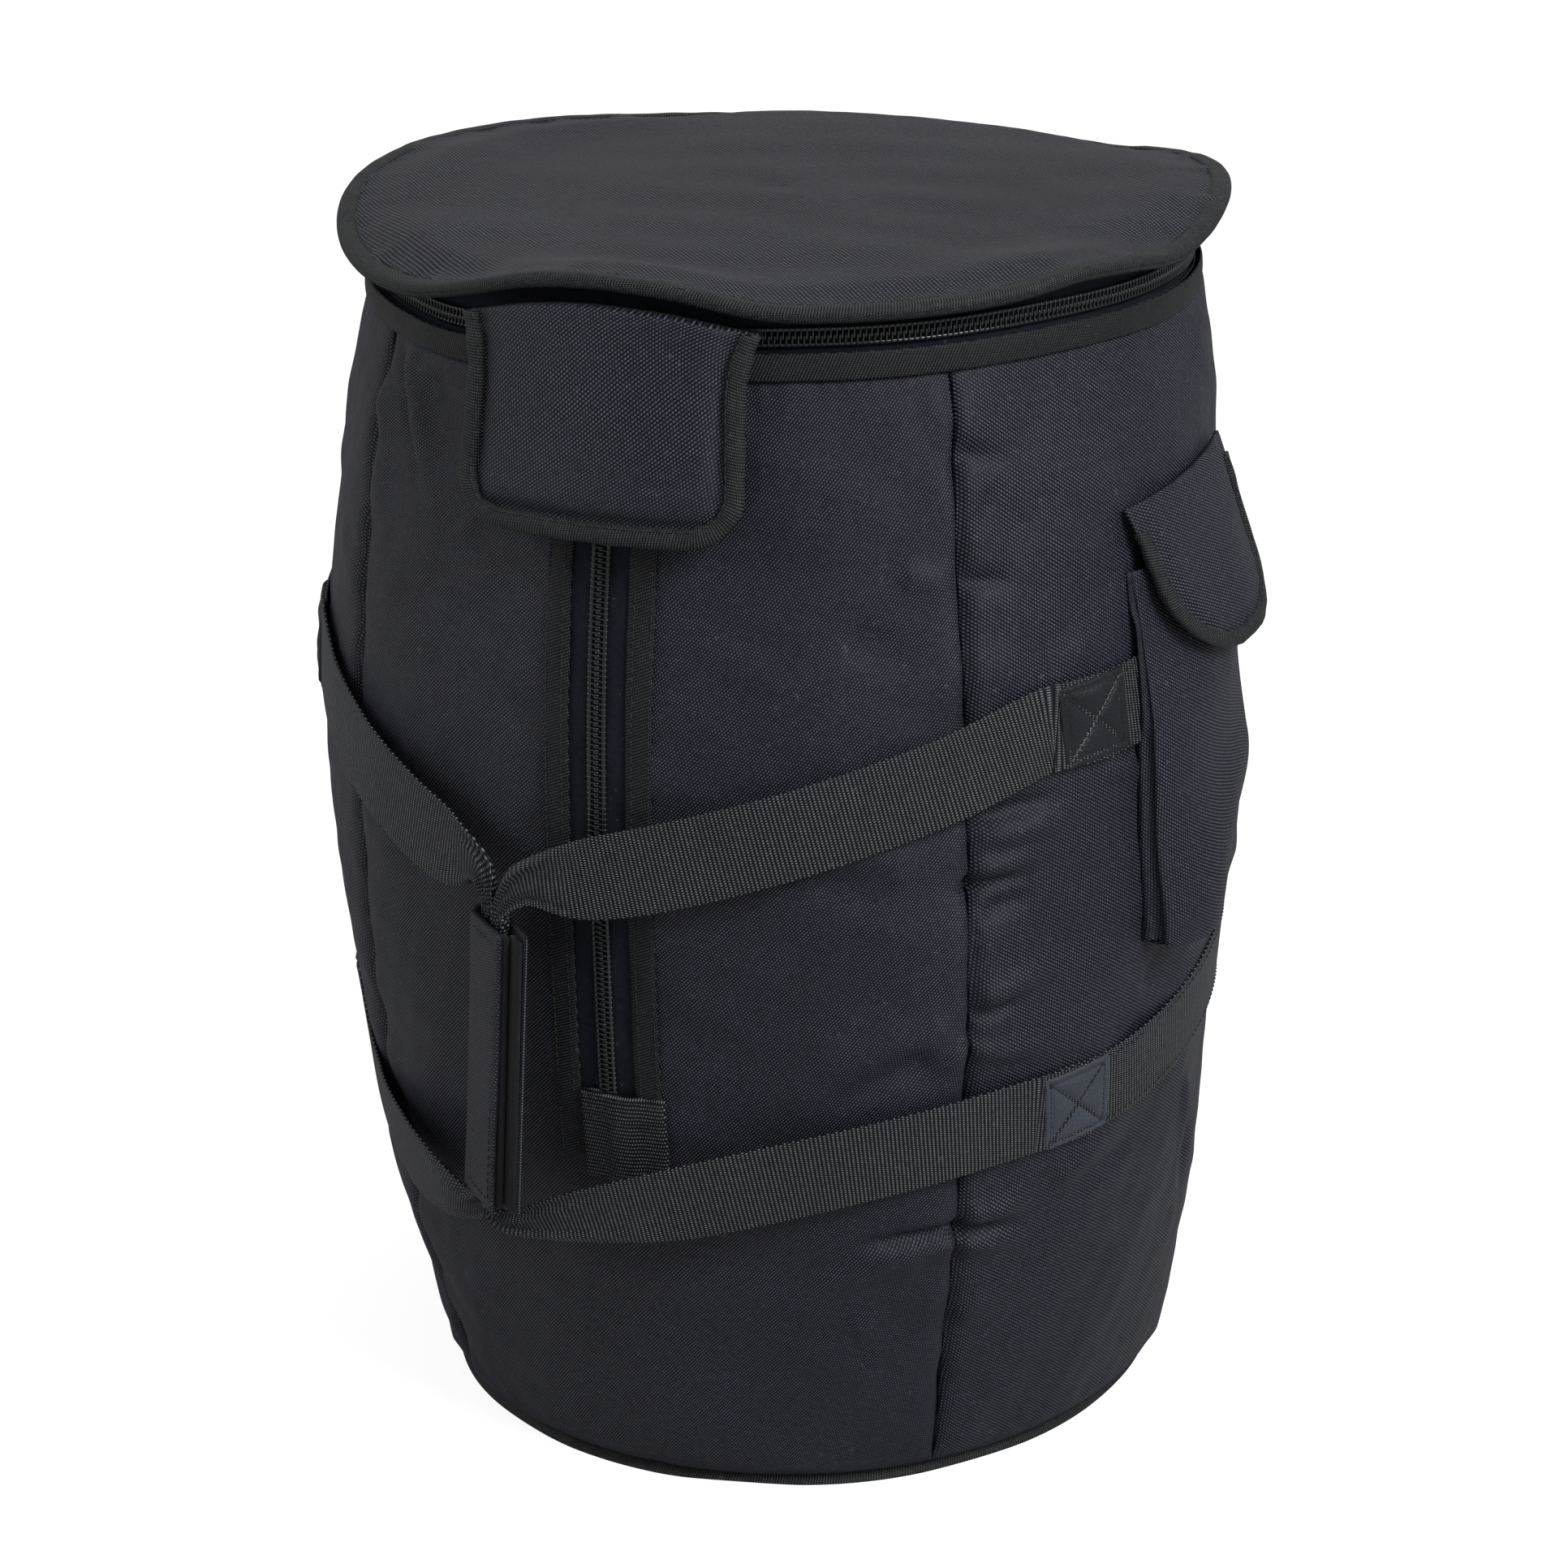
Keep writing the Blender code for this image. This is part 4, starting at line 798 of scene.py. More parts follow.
@dataclass(frozen=True)
class Crease:
    """A straight fold of the cloth between two places on the wall, in degrees round and height."""

    start_turn: float
    start_height: float
    end_turn: float
    end_height: float
    width: float
    depth: float

    def relief(self, angle: Array, height: Array) -> Array:
        """Depth times a bell curve of the distance from the line, fading fast at the start and slowly to the end."""
        reach = BARREL.belly_radius
        x0, x1 = math.radians(self.start_turn) * reach, math.radians(self.end_turn) * reach
        dx, dy = x1 - x0, self.end_height - self.start_height
        size = dx * dx + dy * dy
        x, y = np.asarray(angle) * reach - x0, np.asarray(height) - self.start_height
        share = (x * dx + y * dy) / size
        away = (x * dy - y * dx) / math.sqrt(size)
        return self.depth * np.exp(-((away / self.width) ** 2)) * smooth(share * 6) * smooth((1 - share) * 1.6)


@dataclass
class Stitching:
    """Runs of thread: short rounded stitches at an even pitch that dip into the cloth at their ends."""

    pitch: float = 0.0038
    length: float = 0.0029
    thick: float = 0.00055

    def template(self) -> Form:
        """One stitch: a six-sided thread of four rings whose radius follows the root of 1 - x^2."""
        along = np.linspace(-0.5, 0.5, 5)
        swell = np.sqrt(np.clip(1 - (2 * along * 0.96) ** 2, 0, 1)) * self.thick / 2
        turn = np.arange(6) / 6 * math.tau
        x = np.repeat(along * self.length, 6).reshape(5, 6)
        sag = -self.thick * 0.5 * (2 * along) ** 2
        y = swell[:, None] * np.cos(turn)
        z = swell[:, None] * np.sin(turn) + sag[:, None]
        return Form(np.stack([x, y, z], -1).reshape(-1, 3), tube(5, 6), np.zeros((30, 2)))

    def run(self, path: Array, out: Array) -> Form:
        """Stitches along a path, standing on its outward directions.

        Args:
            path: Points on the cloth.
            out: Outward direction at each point.

        Returns:
            The form of all stitches.
        """
        both = even_steps(np.concatenate([path, out], axis=1), self.pitch)
        middle = (both[1:, :3] + both[:-1, :3]) / 2
        way = unit(both[1:, :3] - both[:-1, :3])
        lift = unit((both[1:, 3:] + both[:-1, 3:]) / 2)
        side = unit(np.cross(lift, way))
        return copies(self.template(), middle + lift * self.thick * 0.25, np.stack([way, side, np.cross(way, side)], 1))


STITCHES = Stitching()


# The padded wall


@dataclass
class Wall:
    """Four padded panels, the lining, and the creases (a row of Crease values each) that the seams and straps pull."""

    front_seam: float = math.radians(44)
    back_seam: float = math.radians(136)
    slit_half: float = 0.0142
    slit_bottom: float = 0.176
    padding: float = 0.0097
    lining: float = 0.0009
    seam_gap: float = 0.0010
    seam_ease: float = 0.006
    seam_wander: float = 0.0035
    seam_rolls: Spots = ((0.0030, 0.0022), (0.0022, 0.0060))
    mouth_height: float = 0.537
    creases: Rows = (
        (-40.5, 0.521, -27.5, 0.44, 0.0042, -0.0036), (-38, 0.521, -24.5, 0.445, 0.007, 0.0042),
        (-31, 0.515, -22, 0.46, 0.008, -0.0028), (-43, 0.5, -37, 0.42, 0.01, 0.0028),
        (-20, 0.455, -6, 0.425, 0.009, -0.002), (42, 0.303, 53, 0.305, 0.0028, -0.005),
        (42.5, 0.31, 56, 0.315, 0.0046, 0.004), (43, 0.333, 58, 0.339, 0.0042, -0.004),
        (45, 0.325, 60, 0.328, 0.0055, 0.0032), (45, 0.29, 53, 0.296, 0.005, -0.0036),
        (45.5, 0.14, 27, 0.1335, 0.0032, -0.005), (45, 0.131, 27, 0.1265, 0.006, 0.0044),
        (42, 0.137, 54, 0.1325, 0.0034, -0.005), (43, 0.129, 56, 0.1255, 0.0055, 0.004),
        (44, 0.145, 56, 0.144, 0.0052, 0.004), (40, 0.123, 21, 0.115, 0.006, 0.0026),
        (30, 0.088, 36, 0.099, 0.0055, 0.0022), (44.5, 0.09, 52, 0.099, 0.006, 0.0024),
        (-31, 0.14, -22, 0.118, 0.0042, 0.0034), (-33, 0.136, -24, 0.113, 0.0048, -0.003),
        (-12, 0.118, 24, 0.111, 0.013, 0.0024), (44, 0.488, 52, 0.48, 0.0048, -0.0038),
        (44, 0.436, 52, 0.433, 0.0044, -0.0036), (36, 0.44, 43.5, 0.438, 0.006, 0.0024),
        (40, 0.505, 22, 0.43, 0.014, 0.0024), (27, 0.335, 41, 0.305, 0.01, 0.003),
        (22, 0.33, 36, 0.295, 0.01, -0.0022), (28, 0.42, 43, 0.395, 0.011, -0.002),
        (46, 0.47, 58, 0.44, 0.008, -0.0022), (62, 0.345, 72, 0.335, 0.006, 0.0024),
        (55, 0.395, 66, 0.405, 0.008, 0.002), (70, 0.24, 88, 0.225, 0.008, -0.0028),
        (45, 0.233, 40, 0.216, 0.006, 0.0036), (42, 0.245, 26, 0.218, 0.009, 0.0034),
        (40, 0.228, 24, 0.206, 0.008, -0.0036), (44, 0.242, 52, 0.25, 0.004, -0.0044),
        (44.5, 0.25, 58, 0.264, 0.006, 0.0032), (44, 0.228, 56, 0.22, 0.005, 0.003),
        (57, 0.15, 70, 0.17, 0.007, 0.0026), (60, 0.14, 76, 0.156, 0.006, -0.0026),
        (86, 0.17, 92, 0.1, 0.005, 0.0026), (90, 0.15, 96, 0.07, 0.006, -0.0026),
    )

    def relief(self, angle: Array, height: Array, first: float, last: float) -> Array:
        """Cloth's offset: creases, two ripples, and edges that roll in and pucker along the seams.

        Args:
            angle: Angles round the bag.
            height: Heights.
            first: Angle of the panel's left seam.
            last: Angle of its right seam.

        Returns:
            Offsets out of the wall.
        """
        turn = wrapped(angle)
        total = sum(Crease(*row).relief(turn, height) for row in self.creases)
        round_way = np.asarray(angle) * BARREL.belly_radius
        total = total + 0.0008 * ripple(round_way, height, 11, 0.070) + 0.0003 * ripple(round_way, height, 12, 0.026)
        for seam in (first, last):
            away = np.abs(np.asarray(angle) - seam) * BARREL.belly_radius
            for depth, reach in self.seam_rolls:
                total = total - depth * np.exp(-((away / reach) ** 2))
            pucker = ripple(height * 0 + seam, height, 21 + int(seam * 10), 0.030, 5)
            total = total + 0.0016 * pucker * np.exp(-away / 0.012)
        top = np.exp(-((BARREL.wall_top - height) / 0.010))
        return total * (1 - 0.7 * top) - 0.0006 * top * np.abs(ripple(round_way, height * 0, 31, 0.018, 5))

    def panel(self, first: float, last: float, slit: bool) -> Form:
        """One padded panel between two seams.

        Args:
            first: Angle of its left seam.
            last: Angle of its right seam.
            slit: Whether it is open for the front zip.

        Returns:
            The form, as thick as the cloth and foam together.
        """
        gap = self.seam_gap / 2 / BARREL.belly_radius
        angles = eased_span(first + gap, last - gap, 148, self.seam_ease / BARREL.belly_radius)
        top = BARREL.wall_top
        low = np.linspace(BARREL.foot_height, self.slit_bottom, 92)
        heights = np.concatenate([low, np.linspace(self.slit_bottom, top - 0.002, 186)[1:], [top - 0.0006, top]])
        turns = np.radians([62.0, 42.0, 21.0])[:, None]
        present = None
        if slit:
            angles, cut = self.parted(angles)
            present = np.ones((len(turns) + len(heights) - 1, len(angles) - 1), bool)
            present[len(turns) + len(low) - 1 :, cut - 1] = False
        share = ((angles - first) / (last - first))[None]
        shifts = [
            self.seam_wander * ripple(heights * 0, heights, 15 + int(seam * 7), 0.085, 5)[:, None]
            for seam in (first, last)
        ]
        spread_angles = angles[None] + shifts[0] * (1 - share) ** 4 + shifts[1] * share**4
        if slit:
            self.open_slit(spread_angles, heights, cut)
        relief = self.relief(spread_angles, heights[:, None], first, last)
        edge_row = np.exp(-((top - heights) / 0.0012))[:, None]
        foot_angles = angles[None] + 0 * turns
        outer = BARREL.point(spread_angles, heights[:, None], relief - 0.0012 * edge_row)
        inner = BARREL.point(spread_angles, heights[:, None], -self.padding)
        front = np.concatenate([BARREL.foot(foot_angles, turns, 0.0), outer])
        back = np.concatenate([BARREL.foot(foot_angles, turns, -self.padding), inner])
        across = np.concatenate([foot_angles, spread_angles]) * BARREL.belly_radius
        up = np.concatenate([[-0.018, -0.012, -0.006], heights])[:, None]
        return shell(front, back, pairs(across, up), present)

    def inside(self) -> Form:
        """The lining: a quilted skin just inside the foam that turns over its top edge to the zip's tape."""
        angles, cut = self.parted(whole_turn(252))
        top = BARREL.wall_top
        low = np.linspace(BARREL.foot_height, self.slit_bottom, 20)
        heights = np.concatenate([low, np.linspace(self.slit_bottom, top, 42)[1:]])
        spread_angles = np.broadcast_to(angles, (len(heights), len(angles))).copy()
        self.open_slit(spread_angles, heights, cut)
        give = np.minimum(0.0004 * ripple(spread_angles * BARREL.belly_radius, heights[:, None], 41, 0.05), 0.0)
        near = self.padding + 0.0004
        turns = np.radians([62.0, 31.0])[:, None]
        foot_angles = angles[None] + 0 * turns
        outer = [BARREL.foot(foot_angles, turns, -near), BARREL.point(spread_angles, heights[:, None], -near)]
        inner = [
            BARREL.foot(foot_angles, turns, -near - self.lining),
            BARREL.point(spread_angles, heights[:, None], -near - self.lining + give),
        ]
        mouth = float(BARREL.radius(self.mouth_height)) - 0.0012
        lift = BARREL.mouth_lift(angles)[None]
        start = BARREL.radius(top) - near
        rise = np.array([0.0012, 0.0014])[:, None]
        radius = start + (mouth - start) * np.array([0.3, 1.0])[:, None]
        outer.append(ring(radius, angles[None], top + rise - 0.0008 + lift))
        inner.append(ring(radius - 0.0002, angles[None], top + rise + lift))
        front, back = np.concatenate(outer), np.concatenate(inner)
        rows, columns = front.shape[:2]
        present = np.ones((rows - 1, columns), bool)
        present[2 + len(low) - 1 : -2, cut - 1] = False
        up = np.concatenate([[-0.01, -0.005], heights, [top + 0.004, top + 0.009]])
        wide = np.broadcast_to(angles * BARREL.belly_radius, (rows, columns))
        return shell(front, back, pairs(wide, up[:, None]), present, wrap=True)

    def parted(self, angles: Array) -> tuple[Array, int]:
        """The angles with one at each edge of the slit instead of those inside it, and the right edge's index."""
        half = float(BARREL.across(self.slit_half, self.slit_bottom))
        clear = half * 1.12
        angles = np.concatenate([angles[angles < -clear], [-half, half], angles[angles > clear]])
        return angles, int(np.searchsorted(angles, 0.0))

    def open_slit(self, angles: Array, heights: Array, cut: int) -> None:
        """Moves the two columns beside the slit to its edges at each height."""
        edge = BARREL.across(self.slit_half, np.maximum(heights, self.slit_bottom))
        angles[:, cut - 1], angles[:, cut] = -edge, edge

    def build(self, dresser: Dresser) -> None:
        """Makes and dresses the wall."""
        front, back = self.front_seam, self.back_seam
        ends = (-front, front, back, math.tau - back, math.tau - front)
        names = ("front", "right_side", "back", "left_side")
        for name, first, last in zip(names, ends, ends[1:]):
            panel = self.panel(first, last, name == "front")
            cloth = SIDE_CLOTH if "side" in name else CLOTH
            dresser.piece(panel, f"{name}_wall", cloth, "body", (f"{name}_panel", f"{name}_foam"), 0.5)
        dresser.piece(self.inside(), "inside_lining", LINING, "body", ("body_lining",))


@dataclass
class Base:
    """Round base: cloth under it, a padded floor inside, and the welt in its seam."""

    cloth: float = 0.0012
    pad_top: float = 0.0103
    welt_radius: float = 0.0011
    welt_width: float = 0.0085
    welt_ring: float = 0.1522

    def disc(self, low: float, high: float) -> Form:
        """A disc between two heights, with a rounded edge."""
        seam = BARREL.base_radius
        radii = np.concatenate([[0.0005], np.linspace(0.012, seam - 0.002, 22), [seam]])[:, None]
        round_off = (high - low) / 2 * np.exp(-((seam - radii) / 0.0012))
        angles = whole_turn(120)[None]
        front = ring(radii, angles, high - 0.7 * round_off)
        back = ring(radii, angles, low + 0.2 * round_off)
        return shell(front[::-1], back[::-1], front[::-1, :, :2], wrap=True)

    def build(self, dresser: Dresser) -> None:
        """Makes and dresses the base."""
        dresser.piece(self.disc(0.0, self.cloth), "base_cloth", CLOTH, "body", ("base_panel",))
        pad = self.disc(self.cloth + 0.0003, self.pad_top)
        dresser.piece(pad, "base_pad", LINING, "body", ("base_foam", "base_lining"), 0.5)
        angles = whole_turn(360)
        out = 0.0010 + 0.0007 * ripple(angles * self.welt_ring, 0 * angles, 65, 0.12, 5)
        path = BARREL.foot(angles, np.full_like(angles, 0.82), out)
        side = unit(ring(0.75, angles, -0.66))
        way = unit(np.roll(path, -1, 0) - np.roll(path, 1, 0))
        profile = rounded_profile(self.welt_width, 2 * self.welt_radius, 2.6, 16)
        welt = sweep(path, side, np.cross(side, way), profile, closed=True)
        dresser.piece(welt, "base_welt", BINDING, "body", ("base_piping",))


# Zips


@dataclass
class Teeth:
    """Interlocking coil teeth: each is a bent wire from its row's root over the middle and back."""

    pitch: float = 0.0024
    half_width: float = 0.005
    tip: float = 0.0011
    height: float = 0.0026
    wire: float = 0.00085

    def template(self) -> Form:
        """One tooth: a six-sided wire along an arch, thicker at the head, in x across and z outwards."""
        share = np.array([0.0, 0.12, 0.34, 0.62, 0.86, 1.0, 0.93])
        x = self.half_width * 0.92 - (self.half_width * 0.92 + self.tip) * share
        z = self.height - self.wire - (self.height - 1.6 * self.wire) * np.array([0.9, 0.25, 0.0, 0.0, 0.06, 0.42, 0.9])
        slant = self.pitch * 0.16 * (share - 0.5)
        path = np.stack([x, slant, z], -1)
        way = unit(np.gradient(path, axis=0))
        side = np.tile([0.0, 1.0, 0.0], (len(path), 1))
        out = unit(np.cross(way, side))
        fat = np.array([0.85, 1.0, 1.0, 1.05, 1.35, 1.3, 0.8])[:, None, None]
        return sweep(path, side, out, rounded_profile(self.wire, self.wire, 2.0, 6) * fat)

    def row(self, path: Array, side: Array, out: Array, lead: float) -> Form:
        """One row of teeth at an even pitch along a path, with a cord through their roots.

        Args:
            path: Middle of the chain on the face of the tape.
            side: Direction from the middle to this row's root at each point.
            out: Outward direction at each point.
            lead: Shift along the row, in pitches.

        Returns:
            The form.
        """
        every = even_steps(np.concatenate([path, side, out], axis=1), self.pitch / 2)
        start = int(round(lead * 2))
        picked = every[start::2]
        places, sides, outs = picked[:, :3], unit(picked[:, 3:6]), unit(picked[:, 6:])
        ways = np.cross(outs, sides)
        teeth = copies(self.template(), places, np.stack([sides, ways, outs], 1))
        root = path + side * self.half_width * 0.66 + out * self.height * 0.42
        cord = sweep(root, side, out, rounded_profile(0.0018, 0.0010, 2.4, 8))
        return joined([teeth, cord])


@dataclass
class MouthZip:
    """The zip round the mouth with the band that covers the wall's top edge."""

    chain: float = 0.537
    tape: float = 0.0008
    row_gap: float = 0.0006
    lid_bottom: float = 0.5445
    band_top: float = 0.530
    into_lid: float = 0.0036
    seam_rows: Spots = ((0.0026, 0.5222), (0.0019, 0.5300))
    hinge_half: float = math.radians(22)
    teeth: Teeth = field(default_factory=Teeth)

    @property
    def mouth(self) -> float:
        """Distance of the chain from the axis."""
        return float(BARREL.radius(self.chain))

    def tape_form(self, low: float, high: float, upper: bool) -> Form:
        """A woven tape standing round the mouth between two heights, the upper one up to the lid's underside."""
        angles = whole_turn(240)
        lift = BARREL.mouth_lift(angles)[None]
        end = LID.rise(self.mouth, angles)[None] + self.into_lid if upper else lift
        share = np.linspace(0.0, 1.0, 6)[:, None]
        heights = (low + lift) * (1 - share) + (high + end) * share
        mouth = self.mouth
        front = ring(mouth, angles[None], heights)
        back = ring(mouth - self.tape, angles[None], heights)
        return shell(front, back, pairs(angles[None] * mouth, heights), wrap=True)

    def rows(self, upper: bool) -> Form:
        """The lid's or the body's row of teeth, from one side of the hinge strip round the front to the other."""
        mouth = self.mouth + 0.0003
        end = math.pi - self.hinge_half - 0.004
        angles = np.linspace(-end, end, 400)
        path = ring(mouth, angles, self.chain + BARREL.mouth_lift(angles))
        out = ring(1.0, angles, 0.0)
        side = np.tile([0.0, 0.0, 1.0 if upper else -1.0], (len(angles), 1))
        return self.teeth.row(path, side, out, 0.5 if upper else 0.0)

    def band(self) -> Form:
        """Band over the wall's top edge: a gently rounded tape that follows the wall and then the mouth."""
        angles = whole_turn(240)
        rise = np.linspace(0.0, 1.0, 13)
        low, top = BARREL.wall_top - 0.0008, self.band_top + 0.0012
        heights = (low + (top - low) * rise)[:, None]
        lift = BARREL.mouth_lift(angles)[None]
        mouth = self.mouth
        lean = np.maximum(BARREL.radius(np.minimum(heights, BARREL.wall_top)), mouth) + 0.0004
        swell = 0.0010 + 0.0006 * np.sin(math.pi * rise)[:, None] ** 0.6
        wavy = 0.0003 * ripple(angles[None] * mouth, heights * 0, 51, 0.03, 5)
        inner = ring(lean, angles[None], heights + lift)
        outer = ring(lean + swell + wavy, angles[None], heights + lift)
        return shell(outer, inner, pairs(angles[None] * mouth, heights), wrap=True)

    def build(self, dresser: Dresser) -> None:
        """Makes and dresses the mouth zip."""
        low = BARREL.wall_top + 0.0003
        body_tape = self.tape_form(low, self.chain - self.row_gap / 2, False)
        lid_tape = self.tape_form(self.chain + self.row_gap / 2, self.lid_bottom - 0.0003, True)
        dresser.piece(body_tape, "mouth_tape_of_body", ZIP_TAPE, "body", ("mouth_zip_body_tape",))
        dresser.piece(lid_tape, "mouth_tape_of_lid", ZIP_TAPE, "lid", ("mouth_zip_lid_tape",))
        dresser.piece(self.rows(False), "mouth_teeth_of_body", TEETH, "body", ("mouth_zip_body_coil",))
        dresser.piece(self.rows(True), "mouth_teeth_of_lid", TEETH, "lid", ("mouth_zip_lid_coil",))
        dresser.piece(self.band(), "mouth_band", BAND, "body", ("mouth_binding",))
        angles = np.linspace(-math.pi, math.pi, 361)
        mouth = self.mouth
        runs = [
            STITCHES.run(ring(mouth + out, angles, height + BARREL.mouth_lift(angles)), ring(1.0, angles, 0.0))
            for out, height in self.seam_rows
        ]
        dresser.piece(joined(runs), "mouth_band_stitches", THREAD, "body")
        self.hinge(dresser)

    def hinge(self, dresser: Dresser) -> None:
        """Cloth strip behind the mouth, where the lid hinges; it is made on no body and stays as made."""
        angles = np.linspace(math.pi - self.hinge_half, math.pi + self.hinge_half, 33)[None]
        heights = np.linspace(self.band_top + 0.0003, self.chain - 0.0006, 7)[:, None]
        mouth = self.mouth
        layers = [ring(mouth + out, angles, heights) for out in (0.0012, 0.0003)]
        strip = shell(*layers, pairs(angles * mouth, heights))
        piece = dresser.piece(strip, "hinge_strip", CLOTH, None, ("lid_hinge_strip",))
        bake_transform(piece)


@dataclass
class FrontZip:
    """The zip down the front: tapes, teeth, a woven strip on each side and the webbing tab at its lower end."""

    half: float = 0.014
    strip: float = 0.0105
    slit_bottom: float = 0.176
    tab_top: float = 0.2095
    tab_height: float = 0.044
    tab_width: float = 0.039
    tab_shift: float = 0.0070
    tab_lean: float = 0.045
    round_edge: float = 0.0012
    hump_height: float = 0.0009
    hump_half: float = 0.0068
    hem: float = 0.0007
    webbing: float = 0.0018
    webbing_lift: float = 0.0017
    tape_depth: Spot = (-0.0011, 0.0009)
    strip_depth: Spot = (0.0003, 0.0015)
    seam_places: tuple[float, ...] = (-0.0232, -0.0158, 0.0158, 0.0232)
    tab_seams: tuple[float, ...] = (0.0022, 0.0075, 0.0125)
    teeth: Teeth = field(default_factory=Teeth)

    def strip_form(self, first: float, last: float, low: float, high: float, near: float, thick: float) -> Form:
        """A flat strip beside the zip's middle, rounded at its edges.

        Args:
            first: Left edge's distance from the middle.
            last: Right edge's distance from the middle.
            low: Lower end.
            high: Upper end.
            near: Offset of its back from the wall.
            thick: Thickness.

        Returns:
            The form.
        """
        places = eased_span(first, last, 6, min(self.round_edge, (last - first) / 4))[None]
        heights = np.linspace(low, high, 90)[:, None]
        away = np.minimum(places - first, last - places) / self.round_edge
        crown = thick * (0.45 + 0.55 * np.sqrt(np.clip(1 - (1 - np.clip(away, 0, 1)) ** 2, 0, 1)))
        wavy = 0.00035 * ripple(places * 3, heights, 61, 0.035, 6)
        angle = BARREL.across(places, heights)
        front = BARREL.point(angle, heights, near + crown + wavy)
        back = BARREL.point(angle, heights, near)
        return shell(front, back, pairs(heights, places))

    def hump(self, across: Array, down: Array) -> Array:
        """Rise of the tab over the teeth, low near its top, where the pull comes down."""
        height = 0.0008 + self.hump_height * smooth((down - 0.0065) / 0.0050)
        return height * np.exp(-((np.abs(across) / self.hump_half) ** 4))

    def tab(self) -> Form:
        """Folded webbing sewn over the zip's end: it humps over the teeth and doubles at its top hem."""
        half = self.tab_width / 2
        across = eased_span(-half, half, 30, 0.0010)[None]
        down = np.linspace(0.0, 1.0, 40)[:, None]
        heights = self.tab_top - self.tab_height * down - across * self.tab_lean + 0.0004 * np.sin(across * 400)
        hump = self.hump(across, down * self.tab_height)
        hem = self.hem * smooth((0.30 - down) / 0.04)
        edge = np.minimum(across + half, half - across) / 0.0010
        top_edge = np.minimum(down, 1 - down) * self.tab_height / 0.0010
        roundness = np.sqrt(np.clip(np.minimum(edge, top_edge), 0.05, 1))
        press = -0.0004 * (bump(down, 0.06, 0.025) + bump(down, 0.26, 0.025))
        angle = BARREL.across(across + self.tab_shift, heights)
        near = self.webbing_lift + hump
        back = BARREL.point(angle, heights, near)
        front = BARREL.point(angle, heights, near + (self.webbing + hem + press) * roundness)
        return shell(front, back, pairs(heights, across))

    def build(self, dresser: Dresser) -> None:
        """Makes and dresses the front zip."""
        top = BARREL.wall_top
        tooth_heights = np.linspace(self.tab_top - 0.008, top - 0.0025, 300)
        path = BARREL.point(0.0 * tooth_heights, tooth_heights, 0.0)
        out = BARREL.outward(0.0 * tooth_heights, tooth_heights)
        for sign, name in ((-1, "left"), (1, "right")):
            inner, outer = sorted((sign * 0.0003, sign * (self.half - 0.0003)))
            tape = self.strip_form(inner, outer, self.slit_bottom + 0.0004, top, *self.tape_depth)
            dresser.piece(tape, f"front_tape_{name}", ZIP_TAPE, "body", (f"front_zip_{name}_tape",))
            inner, outer = sorted((sign * (self.half - 0.0012), sign * (self.half + self.strip)))
            strip = self.strip_form(inner, outer, self.slit_bottom - 0.003, top - 0.004, *self.strip_depth)
            dresser.piece(strip, f"front_strip_{name}", BAND, "body", (f"front_zip_{name}_strip",))
            side = np.tile([float(sign), 0.0, 0.0], (len(path), 1))
            row = self.teeth.row(path, side, out, 0.5 if sign > 0 else 0.0)
            dresser.piece(row, f"front_teeth_{name}", TEETH, "body", (f"front_zip_{name}_coil",))
        dresser.piece(self.tab(), "zip_end_tab", TAB_WEBBING, "body", ("front_zip_end_tab",))
        dresser.piece(self.seams(), "front_zip_stitches", THREAD, "body")

    def seams(self) -> Form:
        """Stitch rows along both strips and across the tab's hem."""
        heights = np.linspace(self.slit_bottom, BARREL.wall_top - 0.006, 200)
        rows = [(BARREL.across(place, heights), heights, 0.0019) for place in self.seam_places]
        across = np.linspace(-0.0185, 0.0185, 40)
        for down in self.tab_seams:
            level = self.tab_top - down - across * self.tab_lean
            rows.append((BARREL.across(across + self.tab_shift, level), level, 0.0041 + self.hump(across, down)))
        return joined([STITCHES.run(BARREL.point(*row), BARREL.outward(*row[:2])) for row in rows])


# Lid


